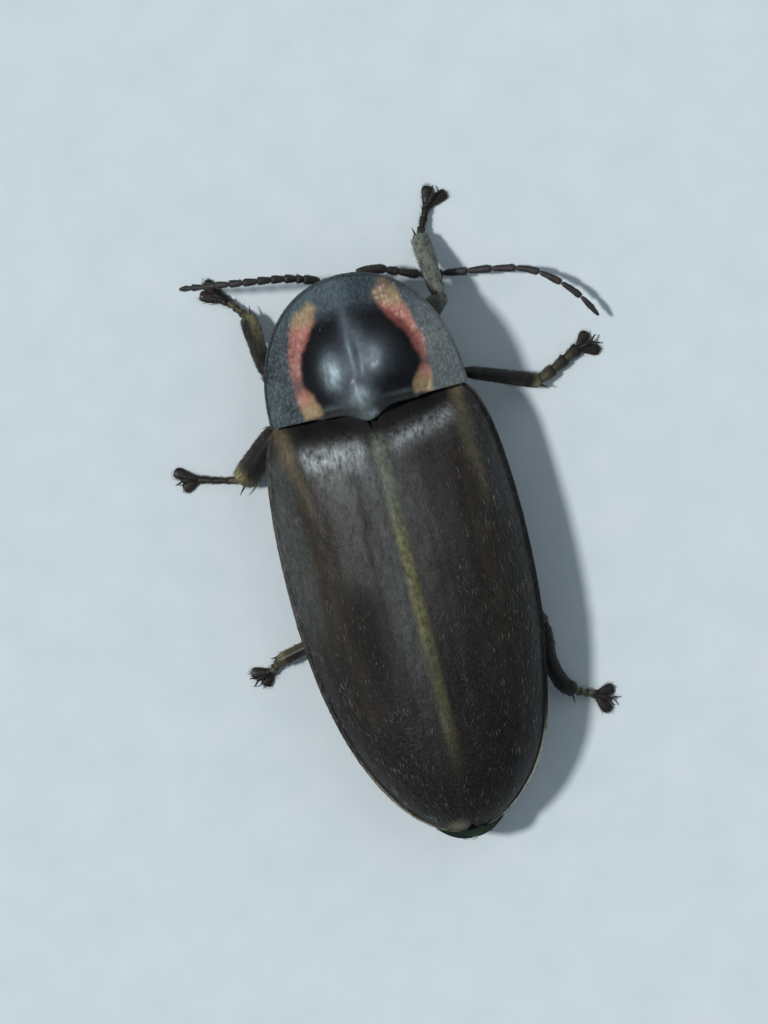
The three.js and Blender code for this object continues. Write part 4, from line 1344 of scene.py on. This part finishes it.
def hairTree():
    tree = bpy.data.node_groups.new("shortHairs", "GeometryNodeTree")
    sheet = Sheet(tree)
    node, spec = sheet.node, hairSpec
    tree.interface.new_socket("Geometry", in_out="OUTPUT", socket_type="NodeSocketGeometry")
    wanted = [("Geometry", "Geometry"), ("Material", "Material"), ("Seed", "Int")]
    wanted += [(name, "Float") for name in ("Density", "Length", "Width", "Lean", "Bend")]
    for name, kind in wanted:
        tree.interface.new_socket(name, in_out="INPUT", socket_type="NodeSocket" + kind)
    entry = tree.nodes.new("NodeGroupInput")
    given = {socket.name: Wire(sheet, socket) for socket in entry.outputs if socket.name}

    def stored(name, kind):
        return node("GeometryNodeInputNamedAttribute", {"data_type": kind}, {"Name": name}, "Attribute")

    def kept(geometry, name, value):
        settings = {"data_type": "FLOAT2", "domain": "CORNER"}
        sockets = {"Geometry": geometry, "Name": name, "Value": value}
        return node("GeometryNodeStoreNamedAttribute", settings, sockets)

    def chance(kind, low, high, seed):
        sockets = {"Min": low, "Max": high, "Seed": seed}
        return node("FunctionNodeRandomValue", {"data_type": kind}, sockets, "Value")

    def faced(settings, sockets):
        return node("FunctionNodeAlignRotationToVector", settings, sockets)

    thick = stored("hairiness", "FLOAT") * given["Density"]
    sockets = {"Mesh": given["Geometry"], "Density": thick, "Seed": given["Seed"]}
    points = node("GeometryNodeDistributePointsOnFaces", {"distribute_method": "RANDOM"}, sockets)
    normal = Wire(sheet, points.socket.node.outputs["Normal"])
    astray = sheet.scaled(chance("FLOAT_VECTOR", (-1, -1, -1), (1, 1, 1), 7), spec["stray"])
    flow = sheet.vectorMaths("ADD", stored("flow", "FLOAT_VECTOR"), astray)
    upward = sheet.vectorMaths("ADD", normal, sheet.scaled(flow, given["Lean"]))
    turned = faced({"axis": "Z"}, {"Vector": upward})
    turned = faced({"axis": "X", "pivot_axis": "Z"}, {"Rotation": turned, "Vector": flow})
    sockets = {"Vertices": spec["sides"], "Side Segments": 3, "Radius Top": given["Width"] * spec["point"],
               "Radius Bottom": given["Width"], "Depth": given["Length"]}
    cone = node("GeometryNodeMeshCone", {"fill_type": "NGON"}, sockets)
    cone = kept(cone, "tuftUV", Wire(sheet, cone.socket.node.outputs["UV Map"]))
    height = node("ShaderNodeSeparateXYZ", None, {0: node("GeometryNodeInputPosition")}, "Z")
    height = height / given["Length"]
    sag = node("ShaderNodeCombineXYZ", None, {0: height * height * given["Bend"] * given["Length"]})
    cone = node("GeometryNodeSetPosition", None, {"Geometry": cone, "Offset": sag})
    size = chance("FLOAT", *spec["sizes"], 3)
    sockets = {"Points": points, "Instance": cone, "Rotation": turned, "Scale": size}
    hairs = node("GeometryNodeInstanceOnPoints", None, sockets)
    hairs = node("GeometryNodeRealizeInstances", None, {"Geometry": hairs})
    patch = sheet.vectorMaths("SUBTRACT", stored("tuftUV", "FLOAT_VECTOR"), (0.5, 0.5, 0.0))
    patch = sheet.vectorMaths("ADD", stored("place", "FLOAT_VECTOR"), sheet.scaled(patch, spec["patch"]))
    hairs = kept(hairs, "OFBake", patch)
    hairs = node("GeometryNodeSetMaterial", None, {"Geometry": hairs, "Material": given["Material"]})
    leave = tree.nodes.new("NodeGroupOutput")
    tree.links.new(hairs.socket, leave.inputs["Geometry"])
    return tree


def hairFinish(name, dark, pale):
    sheet = Finish(name)
    colour = sheet.blend(sheet.clouds(4.0, 0.48, 0.72), dark, pale)
    return sheet.skin(colour, 0.35 + sheet.noise(12.0) * 0.2)


# Density is per square millimetre, length and width are in millimetres
hairSorts = {
    "wing": {"Density": 110.0, "Length": 0.15, "Width": 0.0047, "Lean": 2.2, "Bend": 0.45, "look": "pale"},
    "shield": {"Density": 70.0, "Length": 0.09, "Width": 0.005, "Lean": 1.6, "Bend": 0.4, "look": "pale"},
    "under": {"Density": 45.0, "Length": 0.16, "Width": 0.007, "Lean": 1.8, "Bend": 0.4, "look": "dark"},
    "leg": {"Density": 170.0, "Length": 0.12, "Width": 0.006, "Lean": 1.5, "Bend": 0.35, "look": "dark"},
    "feeler": {"Density": 320.0, "Length": 0.07, "Width": 0.0045, "Lean": 1.4, "Bend": 0.35, "look": "dark"},
}
hairLooks = {
    "pale": hairFinish("paleHair", (0.03, 0.03, 0.028), (0.3, 0.293, 0.27)),
    "dark": hairFinish("darkHair", (0.01, 0.008, 0.007), (0.05, 0.042, 0.034)),
}
hairGrower = hairTree()


def growHairs(skin, sort, seed):
    spec = hairSorts[sort]
    grower = placed(skin.name + "Grower", skin.data.copy())
    modifier = grower.modifiers.new("hairs", "NODES")
    modifier.node_group = hairGrower
    values = {"Seed": seed, "Material": hairLooks[spec["look"]], "Density": spec["Density"] / mm**2}
    values.update({name: spec[name] * mm for name in ("Length", "Width")})
    values.update({name: spec[name] for name in ("Lean", "Bend")})
    for item in hairGrower.interface.items_tree:
        if item.in_out == "INPUT" and item.name in values:
            modifier[item.identifier] = values[item.name]
    bpy.context.view_layer.update()
    ready = grower.evaluated_get(bpy.context.evaluated_depsgraph_get())
    mesh = bpy.data.meshes.new_from_object(ready)
    bpy.data.objects.remove(grower)
    mesh.name = skin.name + "Hairs"
    points = np.empty(3 * len(mesh.vertices))
    mesh.vertices.foreach_get("co", points)
    points[2::3] = np.maximum(points[2::3], 0.0)
    mesh.vertices.foreach_set("co", points)
    mesh.shade_smooth()
    tie(placed(mesh.name, mesh), skin["nodes"].split(), skin["slotName"])
    print(mesh.name, len(mesh.polygons), "faces")


grown = [(leftWing, "wing"), (rightWing, "wing"), (shieldPiece, "shield")]
grown += [(skin, "under") for skin in (chestPiece, bellyPiece, throatPiece)]
grown += [(leg, "leg") for leg in legs] + [(feeler, "feeler") for feeler in feelers]
for number, (skin, sort) in enumerate(grown):
    growHairs(skin, sort, number + 1)
print("hairs grown")
